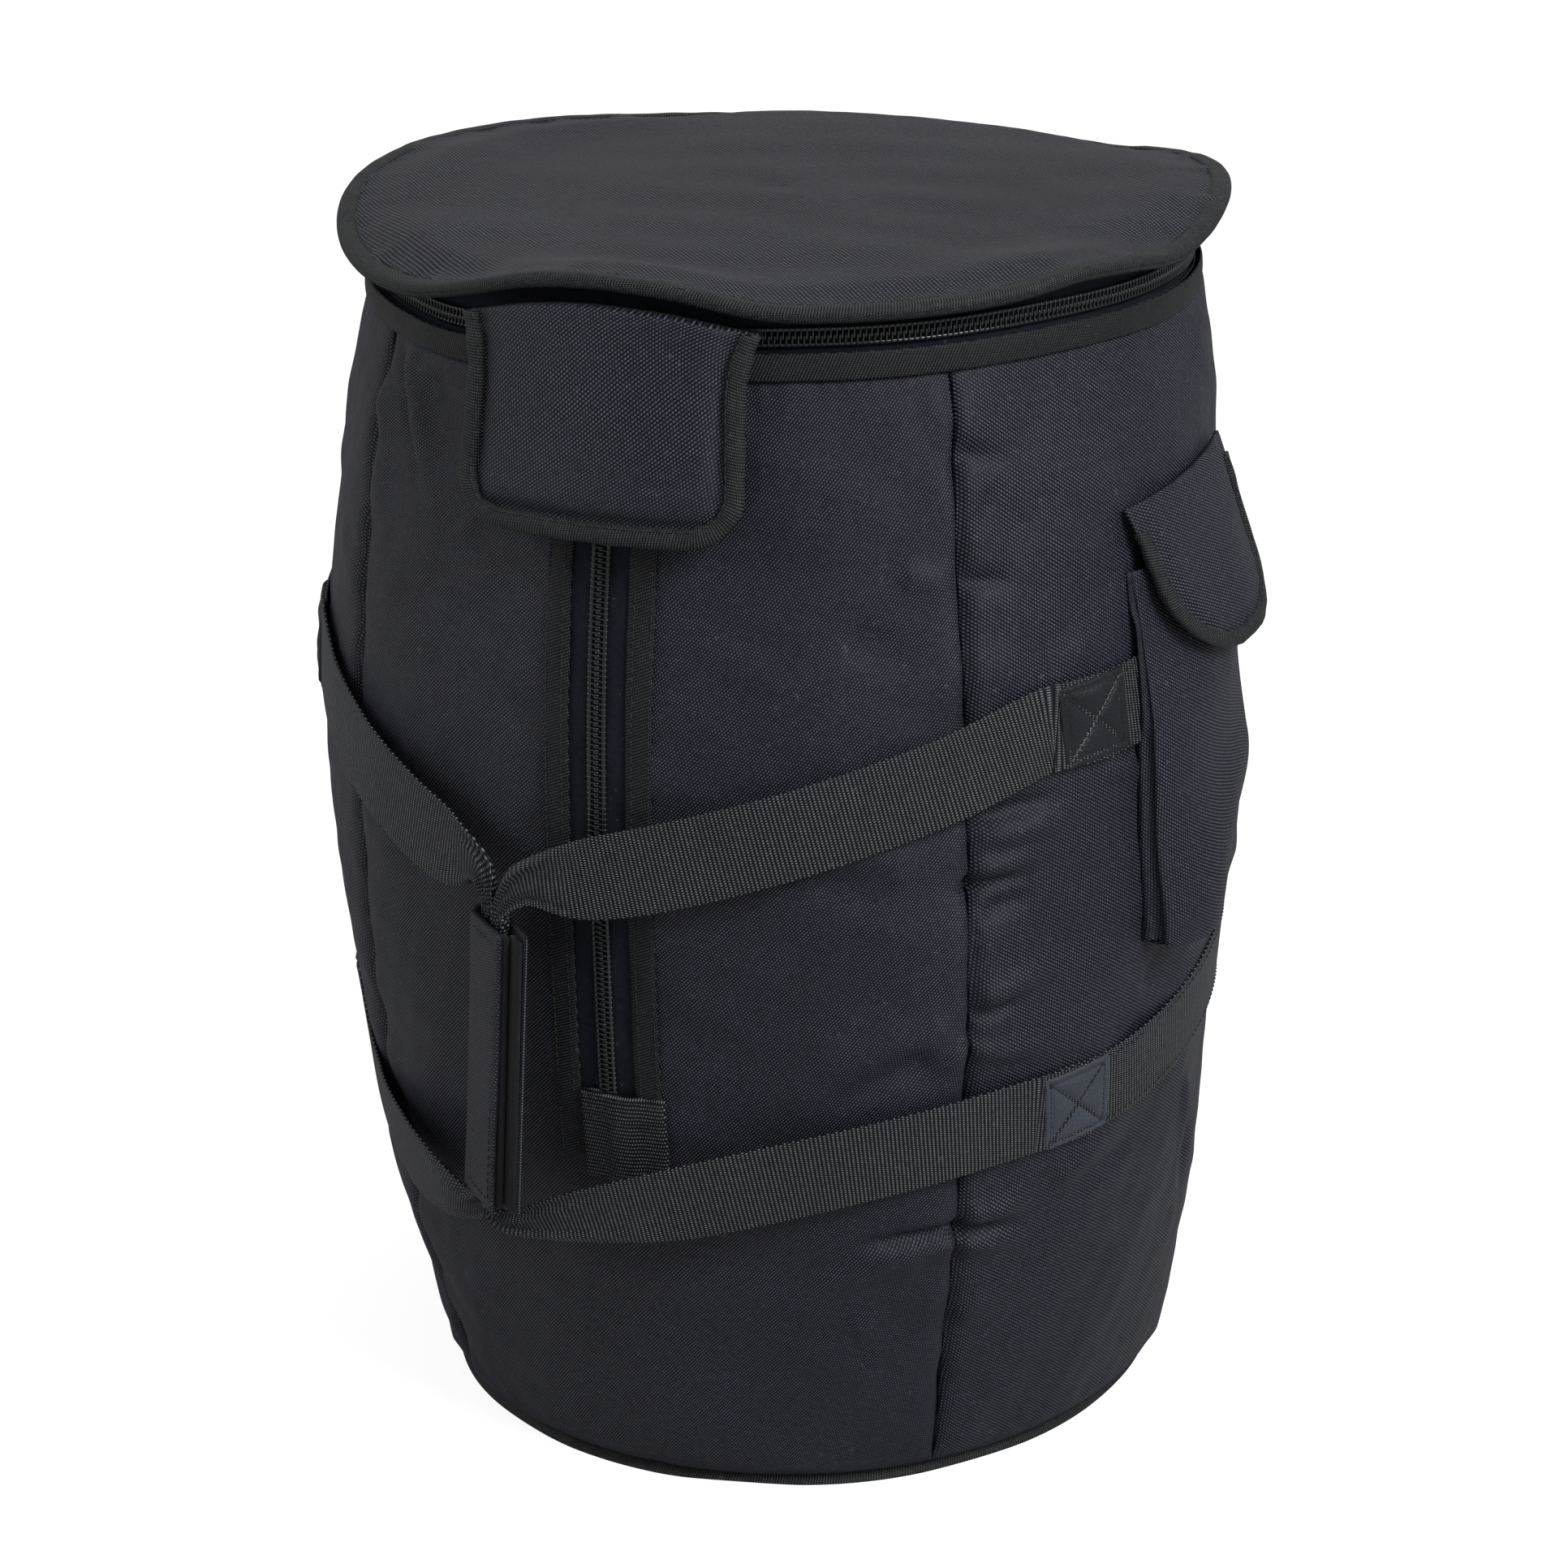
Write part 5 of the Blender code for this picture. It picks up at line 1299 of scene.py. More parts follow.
@dataclass
class Lid:
    """Padded round lid with a soft wavy rim, bound all round."""

    bottom: float = 0.5445
    radius: float = 0.1975
    lining: float = 0.0008
    thick: float = 0.0100
    dome: float = 0.004
    band: float = 0.0098
    rim_thick: float = 0.0064
    cover_inset: float = 0.0015
    rise_start: float = 0.128
    dip_start: float = 0.168
    press_start: float = 0.166
    pressed: float = 0.0046
    hollows: Spot = (0.0007, 0.00035)
    pucker: float = 0.0006
    swell: float = 0.0008
    lifts: Spots = (
        (-180, -0.0042), (-160, -0.003), (-140, 0), (-120, 0.005), (-100, 0.0076), (-88, 0.0072),
        (-78, 0.0056), (-69, 0.0026), (-60, -0.0016), (-50, -0.005), (-40, -0.0062), (-30, -0.0046),
        (-20, 0.0024), (-10, 0.0107), (-1, 0.0135), (9, 0.0112), (20, 0.0038), (30, 0.0022),
        (42, 0.0026), (52, 0.0042), (61, 0.0072), (70, 0.006), (80, 0.0026), (90, 0.006),
        (100, 0.0105), (110, 0.0117), (120, 0.0104), (130, 0.007), (140, 0.0024), (150, -0.0028),
        (163, -0.0042),
    )

    def rim_lift(self, angle: Array) -> Array:
        """Rise of the rim."""
        return round_curve(self.lifts, angle)

    def rise(self, radius: Array, angle: Array) -> Array:
        """Rise of the lid: its dome, plus the rim's lift, which starts further in where it goes up."""
        lift = self.rim_lift(angle)
        up = smooth((radius - self.rise_start) / (self.radius - self.rise_start)) * np.maximum(lift, 0.0)
        down = smooth((radius - self.dip_start) / (self.radius - self.dip_start)) * np.minimum(lift, 0.0)
        return self.dome * (1 - (radius / self.radius) ** 2) + up + down

    def half_thick(self, radius: Array) -> Array:
        """Half of the padding's thickness, which the binding presses flat near the rim."""
        share = (radius - self.press_start) / (self.radius - self.band - self.press_start)
        return self.thick / 2 - (self.thick - self.pressed) / 2 * smooth(share)

    def radii(self) -> Array:
        """Distances of the lid's rings from its middle, closer near the rim."""
        seat = self.radius - self.cover_inset
        wide, near_rim = np.linspace(0.006, seat - 0.016, 58), np.linspace(seat - 0.0145, seat, 14)
        return np.concatenate([[0.00002, 0.0030], wide, near_rim])

    def middle(self, radius: Array, angle: Array) -> Array:
        """Height of the padding's middle."""
        return self.bottom + self.lining + self.thick / 2 + self.rise(radius, angle)

    def top(self) -> Form:
        """Padded top: rises over the foam, dips along the rim's seam, and holds shallow hollows and ripples."""
        angles = whole_turn(240)[None]
        radii = self.radii()[:, None]
        x, y = radii * np.sin(angles), -radii * np.cos(angles)
        from_seam = self.radius - self.band - radii
        inside = smooth(from_seam / 0.03)
        give = self.hollows[0] * ripple(x, y, 71, 0.13) + self.hollows[1] * ripple(x, y, 72, 0.045)
        give = give * smooth(radii / 0.02)
        pucker = self.pucker * ripple(angles * self.radius, radii * 0, 73, 0.024, 6)
        pucker = pucker * np.exp(-np.abs(from_seam) / 0.010)
        middle = self.middle(radii, angles) + 0.0003
        half = self.half_thick(radii)
        front = ring(radii, angles, middle + half + give * inside + pucker + self.swell * inside)
        back = ring(radii, angles, middle - half)
        return shell(front[::-1], back[::-1], pairs(x, y)[::-1], wrap=True)

    def under(self) -> Form:
        """Lining under the lid."""
        angles = whole_turn(240)[None]
        radii = np.concatenate([[0.00002, 0.003], np.linspace(0.01, self.radius - self.cover_inset, 40)])[:, None]
        base = self.middle(radii, angles) - self.half_thick(radii)
        front = ring(radii, angles, base)[::-1]
        back = ring(radii, angles, base - self.lining)[::-1]
        return shell(front, back, front[..., :2], wrap=True)

    def rim(self) -> Form:
        """Binding: a rounded band folded over the lid's edge and carried round the rim."""
        angles = whole_turn(360)
        middle_radius = self.radius - self.band / 2
        path = ring(middle_radius, angles, self.middle(middle_radius, angles))
        lean = (self.rise(self.radius, angles) - self.rise(self.radius - self.band, angles)) / self.band
        side = unit(ring(1.0, angles, 0.0) + np.stack([0 * lean, 0 * lean, lean], -1))
        way = unit(np.roll(path, -1, 0) - np.roll(path, 1, 0))
        out = unit(np.cross(way, side))
        out *= np.sign(out[:, 2:3])
        soft = 1 + 0.045 * ripple(angles * self.radius, 0 * angles, 74, 0.020, 6)
        profile = rounded_profile(self.band, self.rim_thick, 2.7, 28)[None] * pairs(1.0, soft)[:, None]
        return sweep(path, side, out, profile, closed=True)

    def build(self, dresser: Dresser) -> None:
        """Makes and dresses the lid."""
        dresser.piece(self.top(), "lid_top", LID_CLOTH, "lid", ("lid_cover", "lid_foam"), 0.5)
        dresser.piece(self.under(), "lid_underside", LINING, "lid", ("lid_lining",))
        dresser.piece(self.rim(), "lid_rim", BINDING, "lid", ("lid_rim_binding",))
        angles = np.linspace(-math.pi, math.pi, 600)
        radius = self.radius - self.band + 0.0012
        level = self.middle(radius, angles)
        runs = []
        for sign in (1, -1):
            path = ring(radius, angles, level + sign * (self.rim_thick / 2 - 0.0004))
            runs.append(STITCHES.run(path, np.tile([0.0, 0.0, float(sign)], (len(angles), 1))))
        dresser.piece(joined(runs), "lid_stitches", THREAD, "lid")


LID = Lid()


# Tongues with a bound edge: the bib and the pocket's flap


@dataclass
class Tongue:
    """A padded tongue with round lower corners, laid on a curved face and bound on three sides."""

    place: Place
    half: float
    height: float
    corner: float
    thick: float
    bound: float
    bound_thick: float
    crown: float = 0.0
    top: float = 0.0

    def half_at(self, down: Array) -> Array:
        """Half width: full above the corners, then half - corner + root(corner^2 - depth^2)."""
        into = np.clip(down - (self.height - self.corner), 0.0, self.corner)
        return self.half - self.corner + np.sqrt(np.maximum(self.corner**2 - into**2, 0.0))

    def pad(self) -> Form:
        """The padded middle, crowned away from its edges."""
        turn = np.linspace(0.0, 0.485 * math.pi, 16)
        downs = np.concatenate([
            np.linspace(0.0, self.height - self.corner, 26)[:-1],
            self.height - self.corner + self.corner * np.sin(turn),
        ])[:, None]
        share = np.sin(np.linspace(-math.pi / 2, math.pi / 2, 41))[None]
        across = share * self.half_at(downs) * 0.998
        inset = np.minimum(self.half_at(downs) * (1 - np.abs(share)), self.height - downs)
        lift = smooth(inset / (self.bound * 2.2))
        pinch = 1 - 0.35 * np.exp(-((inset - self.bound) / 0.003) ** 2)
        front = self.place(across, downs, self.thick * pinch * (0.75 + 0.25 * lift) + self.crown * lift)
        back = self.place(across, downs, 0.0 * across)
        return shell(front, back, pairs(across, -downs))

    def outline(self, inset: float) -> tuple[Array, Array]:
        """Places round the three bound sides, and the direction out of the edge at each.

        Args:
            inset: Distance in from the edge.

        Returns:
            Across and down pairs, and outward pairs.
        """
        low, side, mirror = self.height - self.corner, self.half - self.corner, [-1, 1]
        corner = np.linspace(0.0, math.pi / 2, 14)
        turn = np.stack([-np.cos(corner), np.sin(corner)], -1)
        straight = pairs(-self.half, np.linspace(self.top, low, 25)[:-1])
        left = np.concatenate([straight, [-side, low] + self.corner * turn])
        left_ways = np.concatenate([np.tile([-1.0, 0.0], (len(straight), 1)), turn])
        middle = pairs(np.linspace(-side, side, 22)[1:-1], self.height)
        edge = np.concatenate([left, middle, (left * mirror)[::-1]])
        ways = np.concatenate([left_ways, np.tile([0.0, 1.0], (len(middle), 1)), (left_ways * mirror)[::-1]])
        return edge - ways * inset, ways

    def frames(self, inset: float, level: float) -> tuple[Array, Array, Array]:
        """Path, sideways and outward directions round the bound edge at a level of the tongue's thickness."""
        edge, ways = self.outline(inset)
        step = 0.001
        path = self.place(*edge.T, level)
        beyond = self.place(*(edge + ways * step).T, level)
        above = self.place(*edge.T, level + step)
        side = unit(beyond - path)
        out = unit(above - path)
        return path, side, unit(out - side * np.sum(out * side, axis=1, keepdims=True))

    def edge(self) -> Form:
        """The binding: a rounded band carried round the edge."""
        path, side, out = self.frames(self.bound / 2 - 0.0008, self.thick / 2)
        reach = path_length(path)
        soft = 1 + 0.05 * ripple(reach, 0 * reach, 81, 0.016, 5)
        profile = rounded_profile(self.bound, self.bound_thick, 2.8, 22)[None] * soft[:, None, None]
        return sweep(path, side, out, profile)

    def stitches(self) -> Form:
        """A run of stitches on the binding's inner edge."""
        path, _, out = self.frames(self.bound - 0.0022, self.thick / 2)
        return STITCHES.run(path + out * (self.bound_thick / 2 - 0.0002), out)


@dataclass
class Bib:
    """Padded flap that hangs from the lid over the ends of both zips."""

    half: float = 0.0595
    flare: float = 0.12
    height: float = 0.082
    corner: float = 0.022
    standoff: float = 0.0118
    inset: float = 0.0068
    seat: float = 0.0022
    binding: float = 0.001
    wave: float = 0.0011
    waves: float = 48.0
    hollow: float = 0.0010

    def place(self, across: Array, down: Array, offset: Array) -> Array:
        """A place on the bib: a cone from under the lid's rim to its standoff at the lower edge, slightly wavy.

        Args:
            across: Distance to the right of the bib's middle.
            down: Distance below its top.
            offset: Distance out of its back.

        Returns:
            The points.
        """
        top = LID.bottom - self.binding - self.seat
        start = LID.radius - self.inset
        end = float(BARREL.radius(top - self.height)) + self.standoff
        across, down, offset = matched(across, down, offset)
        share = down / self.height
        angle = across / start * (1 + self.flare * np.maximum(1 - 3 * share, 0.0) ** 2)
        hollow = self.hollow * bump(across, 0.045, 0.016) * bump(share, 0.30, 0.22)
        wavy = self.wave * np.sin(across * self.waves + 0.6) * smooth(share * 1.4) - hollow
        radius = start + (end - start) * share + offset + wavy
        lift = LID.rim_lift(angle) * smooth(1 - 1.5 * share) * 0.92
        return ring(radius, angle, top - down + lift)

    def build(self, dresser: Dresser) -> None:
        """Makes and dresses the bib."""
        tongue = Tongue(
            self.place, self.half, self.height, self.corner,
            thick=0.0068, bound=0.0090, bound_thick=0.0092, crown=0.0016,
        )
        dresser.piece(tongue.pad(), "bib_pad", BIB_CLOTH, "bib", ("bib_cover", "bib_foam", "bib_backing"), 0.4)
        dresser.piece(tongue.edge(), "bib_edge", BINDING, "bib", ("bib_binding",))
        dresser.piece(tongue.stitches(), "bib_stitches", THREAD, "bib")


# Webbing


@dataclass
class Strap:
    """Flat webbing carried along stations, with rounded edges and a weave that runs along it."""

    width: float = 0.038
    thick: float = 0.0018

    def form(self, places: Array, outs: Array, gathers: Array, narrow: float, fat: float) -> Form:
        """Webbing along a path, changing from flat to gathered.

        Args:
            places: Middle of the webbing at each station.
            outs: Direction out of its face at each station.
            gathers: Share of the change from flat to gathered at each station.
            narrow: Width where it is gathered.
            fat: Thickness where it is gathered.

        Returns:
            The form.
        """
        ways = unit(np.gradient(places, axis=0))
        out = unit(outs - ways * np.sum(outs * ways, axis=1, keepdims=True))
        side = np.cross(out, ways)
        share = np.clip(gathers, 0.0, 1.0)[:, None, None]
        flat = rounded_profile(self.width, self.thick, 7.0, 44)[None]
        bunched = rounded_profile(narrow, fat, 2.6, 44)[None]
        profile = flat + (bunched - flat) * share
        crumple = 0.0012 * np.sin(flat[..., :1] * math.tau / 0.0085) * smooth(share) * np.array([0.0, 1.0])
        form = sweep(places, side, out, profile + crumple)
        reach = path_length(places)
        uv = pairs(reach[:, None], flat[0, :, 0][None])
        return Form(form.points, form.faces, uv.reshape(-1, 2))


@dataclass
class Handles:
    """Two webbing handles, their patches, the webbing round the back and the wrapped grip."""

    webbing: float = 0.038
    thick: float = 0.0018
    patch: float = 0.036
    patch_thick: float = 0.0013
    patch_border: float = 0.0030
    patch_turn: float = math.radians(5.0)
    seam_gap: float = 0.0008
    lift: float = 0.0012
    right_upper: Spot = (math.radians(60.4), 0.3685)
    right_lower: Spot = (math.radians(59.2), 0.1905)
    left_upper: Spot = (math.radians(-66.0), 0.3560)
    left_lower: Spot = (math.radians(-69.0), 0.1800)
    back_rise: float = 0.024
    back_turn: float = math.radians(42)
    grip_angle: float = math.radians(-14.6)
    grip_lean: float = 0.075
    grip_radius: float = 0.2225
    grip_facing: float = math.radians(45.6)
    grip_length: float = 0.133
    grip_top: float = 0.2915
    grip_depth: float = 0.0395
    gathered_width: float = 0.0125
    gathered_thick: float = 0.0038
    strap: Strap = field(default_factory=Strap)
    upper_shares: Rows = (
        (0, 0, 0, 0), (0.05, 0.02, 0, 0), (0.24, 0.26, 0.06, 0), (0.48, 0.52, 0.24, 0),
        (0.7, 0.76, 0.52, 0), (0.86, 0.92, 0.8, 0.12), (0.96, 1, 0.97, 0.75),
    )
    right_lower_shares: Rows = (
        (0, 0, 0, 0), (0.05, 0.01, 0, 0), (0.24, 0.11, 0.08, 0), (0.46, 0.28, 0.28, 0),
        (0.68, 0.56, 0.54, 0.1), (0.85, 0.78, 0.8, 0.5), (0.96, 0.95, 0.97, 0.92),
    )
    left_lower_shares: Rows = (
        (0, 0, -0.03, 0), (0.08, 0.26, -0.06, 0), (0.2, 0.66, -0.08, 0), (0.34, 0.92, -0.05, 0),
        (0.5, 1, 0.14, 0), (0.68, 1.04, 0.46, 0.08), (0.85, 1.04, 0.82, 0.5), (0.95, 1.02, 0.97, 0.92),
    )

    @property
    def grip_low(self) -> float:
        """Height of the grip's lower end."""
        return self.grip_top - self.grip_length

    @property
    def grip_ahead(self) -> Array:
        """Direction from the grip's fold to its opening."""
        return np.array([math.sin(self.grip_facing), -math.cos(self.grip_facing), 0.0])

    @property
    def grip_face(self) -> Array:
        """Direction out of the grip's closing flap."""
        return -np.array([math.cos(self.grip_facing), math.sin(self.grip_facing), 0.0])

    @property
    def patch_seat(self) -> float:
        """Offset of the patches' backs, over the webbing's start."""
        return self.seam_gap + self.thick + 0.0003

    def grip_point(self, depth: Array, height: Array, out: Array = 0.0) -> Array:
        """A place in the grip: from its fold towards its opening by depth, and out of its middle plane."""
        depth, height, out = matched(depth, height, out)
        fold = ring(self.grip_radius, self.grip_angle, height)
        lean = self.grip_lean * (height - self.grip_top + self.grip_length / 2)
        sideways = np.array([math.cos(self.grip_angle), math.sin(self.grip_angle), 0.0])
        return fold + lean[..., None] * sideways + depth[..., None] * self.grip_ahead + out[..., None] * self.grip_face

    def leg(self, patch: Spot, edge: float, depth: float, level: float, shares: Sequence[tuple]) -> Array:
        """Stations of one leg from its patch to the grip.

        Args:
            patch: Angle and height of the patch.
            edge: Angle of the patch's free edge.
            depth: The webbing's depth in the grip.
            level: Height where it goes into the grip.
            shares: Rows of shares of the way round, up and out, and of the gathering.

        Returns:
            Place, outward direction and gathering in each row.
        """
        end = self.grip_point(depth, level)
        end_angle = math.atan2(end[0], -end[1])
        base = self.seam_gap + self.lift + self.thick / 2
        reach = math.hypot(end[0], end[1]) - float(BARREL.radius(level)) - base
        table = np.array(shares)
        angle = edge + (end_angle - edge) * table[:, 0]
        height = patch[1] + (level - patch[1]) * table[:, 1]
        places = BARREL.point(angle, height, base + reach * table[:, 2])
        return np.concatenate([places, BARREL.outward(angle, height), table[:, 3:]], axis=1)

    def stations(self, upper: Spot, lower: Spot, side: int, depth: float) -> Array:
        """All stations of a handle, from under its upper patch through the grip to under its lower patch.

        Args:
            upper: Angle and height of its upper patch.
            lower: Angle and height of its lower patch.
            side: 1 for the right handle, -1 for the left one.
            depth: Its depth in the grip.

        Returns:
            Place, outward direction and gathering in each row.
        """
        low = self.grip_low
        free = self.patch / 2
        upper_edge = upper[0] - side * free / float(BARREL.radius(upper[1]))
        lower_edge = lower[0] - side * free / float(BARREL.radius(lower[1]))
        first = self.leg(upper, upper_edge, depth, self.grip_top + self.webbing / 2, self.upper_shares)
        lower_shares = self.right_lower_shares if side > 0 else self.left_lower_shares
        last = self.leg(lower, lower_edge, depth, low - self.webbing / 6, lower_shares)[::-1]
        lead = self.gathered_width / 2
        levels = np.array([self.grip_top + lead, self.grip_top, self.grip_top - lead, low + lead, low, low - lead])
        faces = np.tile(self.grip_face, (len(levels), 1))
        grip = np.concatenate([self.grip_point(depth, levels), faces, np.ones((len(levels), 1))], axis=1)
        under = []
        for patch in (upper, lower):
            turn = patch[0] + side * np.array([0.6, -0.2]) * free / float(BARREL.radius(patch[1]))
            height = np.full(2, patch[1])
            places = BARREL.point(turn, height, self.seam_gap + self.thick * 1.3)
            under.append(np.concatenate([places, BARREL.outward(turn, height), np.zeros((2, 1))], axis=1))
        return np.concatenate([under[0], first, grip, last, under[1][::-1]])

    def handle(self, upper: Spot, lower: Spot, side: int, depth: float) -> Form:
        """One handle: webbing along the smooth curve through its stations."""
        curve = curve_through(self.stations(upper, lower, side, depth), 10)
        return self.strap.form(curve[:, :3], curve[:, 3:6], curve[:, 6], self.gathered_width, self.gathered_thick)

    def back_height(self, angle: Array, right: Spot, left: Spot) -> Array:
        """Height of the webbing round the back: it rises past each patch and falls again."""
        total = math.tau + left[0] - right[0]
        turn = angle - right[0]
        level = right[1] + (left[1] - right[1]) * turn / total
        return level + self.back_rise * smooth(turn / self.back_turn) * smooth((total - turn) / self.back_turn)

    def back_strap(self, right: Spot, left: Spot) -> Form:
        """Webbing sewn flat round the back between two patches."""
        half = self.patch / 2 / BARREL.belly_radius
        angles = np.linspace(right[0] - half * 0.6, math.tau + left[0] + half * 0.6, 260)
        heights = self.back_height(angles, right, left)
        places = BARREL.point(angles, heights, self.seam_gap + self.thick / 2)
        return self.strap.form(places, BARREL.outward(angles, heights), 0 * angles, self.gathered_width, self.thick)

    def back_stitches(self, right: Spot, left: Spot) -> Form:
        """Two stitch rows near the edges of the webbing round the back."""
        angles = np.linspace(right[0] + 0.09, math.tau + left[0] - 0.09, 300)
        heights = self.back_height(angles, right, left)
        middle = BARREL.point(angles, heights, self.seam_gap + self.thick + 0.0001)
        outs = BARREL.outward(angles, heights)
        up = unit(np.cross(outs, unit(np.gradient(middle, axis=0)))) * (self.webbing / 2 - 0.003)
        return joined([STITCHES.run(middle - up, outs), STITCHES.run(middle + up, outs)])

    def patch_place(self, centre: Spot, x: Array, y: Array, offset: Array) -> Array:
        """A place on a patch that is sewn slightly aslant, turned by patch_turn towards the front.

        Args:
            centre: Angle and height of the patch's middle.
            x: Distance along the patch's own width.
            y: Distance along its own height.
            offset: Distance out of the wall.

        Returns:
            The points.
        """
        turn = math.copysign(self.patch_turn, centre[0])
        round_way = x * math.cos(turn) - y * math.sin(turn)
        height = centre[1] + x * math.sin(turn) + y * math.cos(turn)
        return BARREL.point(centre[0] + round_way / float(BARREL.radius(centre[1])), height, offset)

    def patch_form(self, centre: Spot) -> Form:
        """Square of leatherette with a rounded raised border and two pressed diagonals."""
        half = self.patch / 2
        place = eased_span(-half, half, 36, 0.0012)
        x, y = np.meshgrid(place, place)
        edge = np.clip(np.minimum(half - np.abs(x), half - np.abs(y)) / 0.0009, 0.0, 1.0)
        rounded = np.sqrt(1 - (1 - edge) ** 2)
        crossing = np.minimum(np.abs(x - y), np.abs(x + y)) / math.sqrt(2)
        border = half - self.patch_border - np.maximum(np.abs(x), np.abs(y))
        press = -0.0009 * bump(crossing, 0.0, 0.0012) - 0.0006 * bump(border, 0.0, 0.0008)
        puff = 0.0009 * smooth(crossing / 0.008) * smooth(border / 0.004)
        cover = self.patch_thick * (0.25 + 0.75 * rounded) + 0.0004 + press + puff
        back = self.patch_place(centre, x, y, self.patch_seat)
        front = self.patch_place(centre, x, y, self.patch_seat + cover)
        return shell(front, back, pairs(x, y))

    def patch_stitches(self, centre: Spot, shown: bool) -> Form:
        """Stitches along the diagonal that shows, or else round the border and along the other, pressed one."""
        inner = self.patch / 2 - self.patch_border
        near = self.patch_seat + self.patch_thick - 0.0001
        square = np.array([[-1, -1], [1, -1], [1, 1], [-1, 1], [-1, -1]]) * inner
        small = Stitching(0.0026, 0.0021, 0.00045)
        runs = []
        lines = [square[[0, 2]]] if shown else [*[square[step : step + 2] for step in range(4)], square[[1, 3]]]
        for line in lines:
            x, y = np.linspace(line[0], line[1], 12).T
            path = self.patch_place(centre, x, y, near)
            runs.append(small.run(path, self.patch_place(centre, x, y, near + 1.0) - path))
        return joined(runs)

    def build(self, dresser: Dresser) -> None:
        """Makes and dresses the webbing, patches and handles."""
        ways = {"right": (self.right_upper, self.right_lower, 1), "left": (self.left_upper, self.left_lower, -1)}
        depths = {"right": self.grip_depth / 2, "left": self.gathered_width / 2 + 0.0009}
        for name, (upper, lower, side) in ways.items():
            form = self.handle(upper, lower, side, depths[name])
            piece = dresser.piece(form, f"{name}_strap", WEBBING, None, (f"{name}_handle",))
            free = self.patch / 2 / float(BARREL.radius(upper[1]))
            start = BARREL.point(upper[0] - side * free, upper[1], 0.003)
            end = BARREL.point(upper[0] - side * free * 2.2, upper[1], 0.003)
            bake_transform(piece)
            for level, centre in (("upper", upper), ("lower", lower)):
                node = f"{level}_{name}_patch"
                # The lower patches take the lighter copy of the leatherette, a painted highlight.
                leather, thread = (LEATHERETTE, PALE_THREAD) if level == "upper" else (LIT_LEATHERETTE, THREAD)
                dresser.piece(self.patch_form(centre), f"{level}_{name}_leatherette", leather, "body", (node,))
                dresser.piece(self.patch_stitches(centre, True), f"{level}_{name}_patch_stitches", thread, "body")
                dresser.piece(self.patch_stitches(centre, False), f"{level}_{name}_patch_border", THREAD, "body")
        for name, right, left in (
            ("upper", self.right_upper, self.left_upper),
            ("lower", self.right_lower, self.left_lower),
        ):
            strap, stitches = self.back_strap(right, left), self.back_stitches(right, left)
            dresser.piece(strap, f"{name}_back_strap", WEBBING, "body", (f"{name}_back_webbing",))
            dresser.piece(stitches, f"{name}_back_stitches", THREAD, "body")


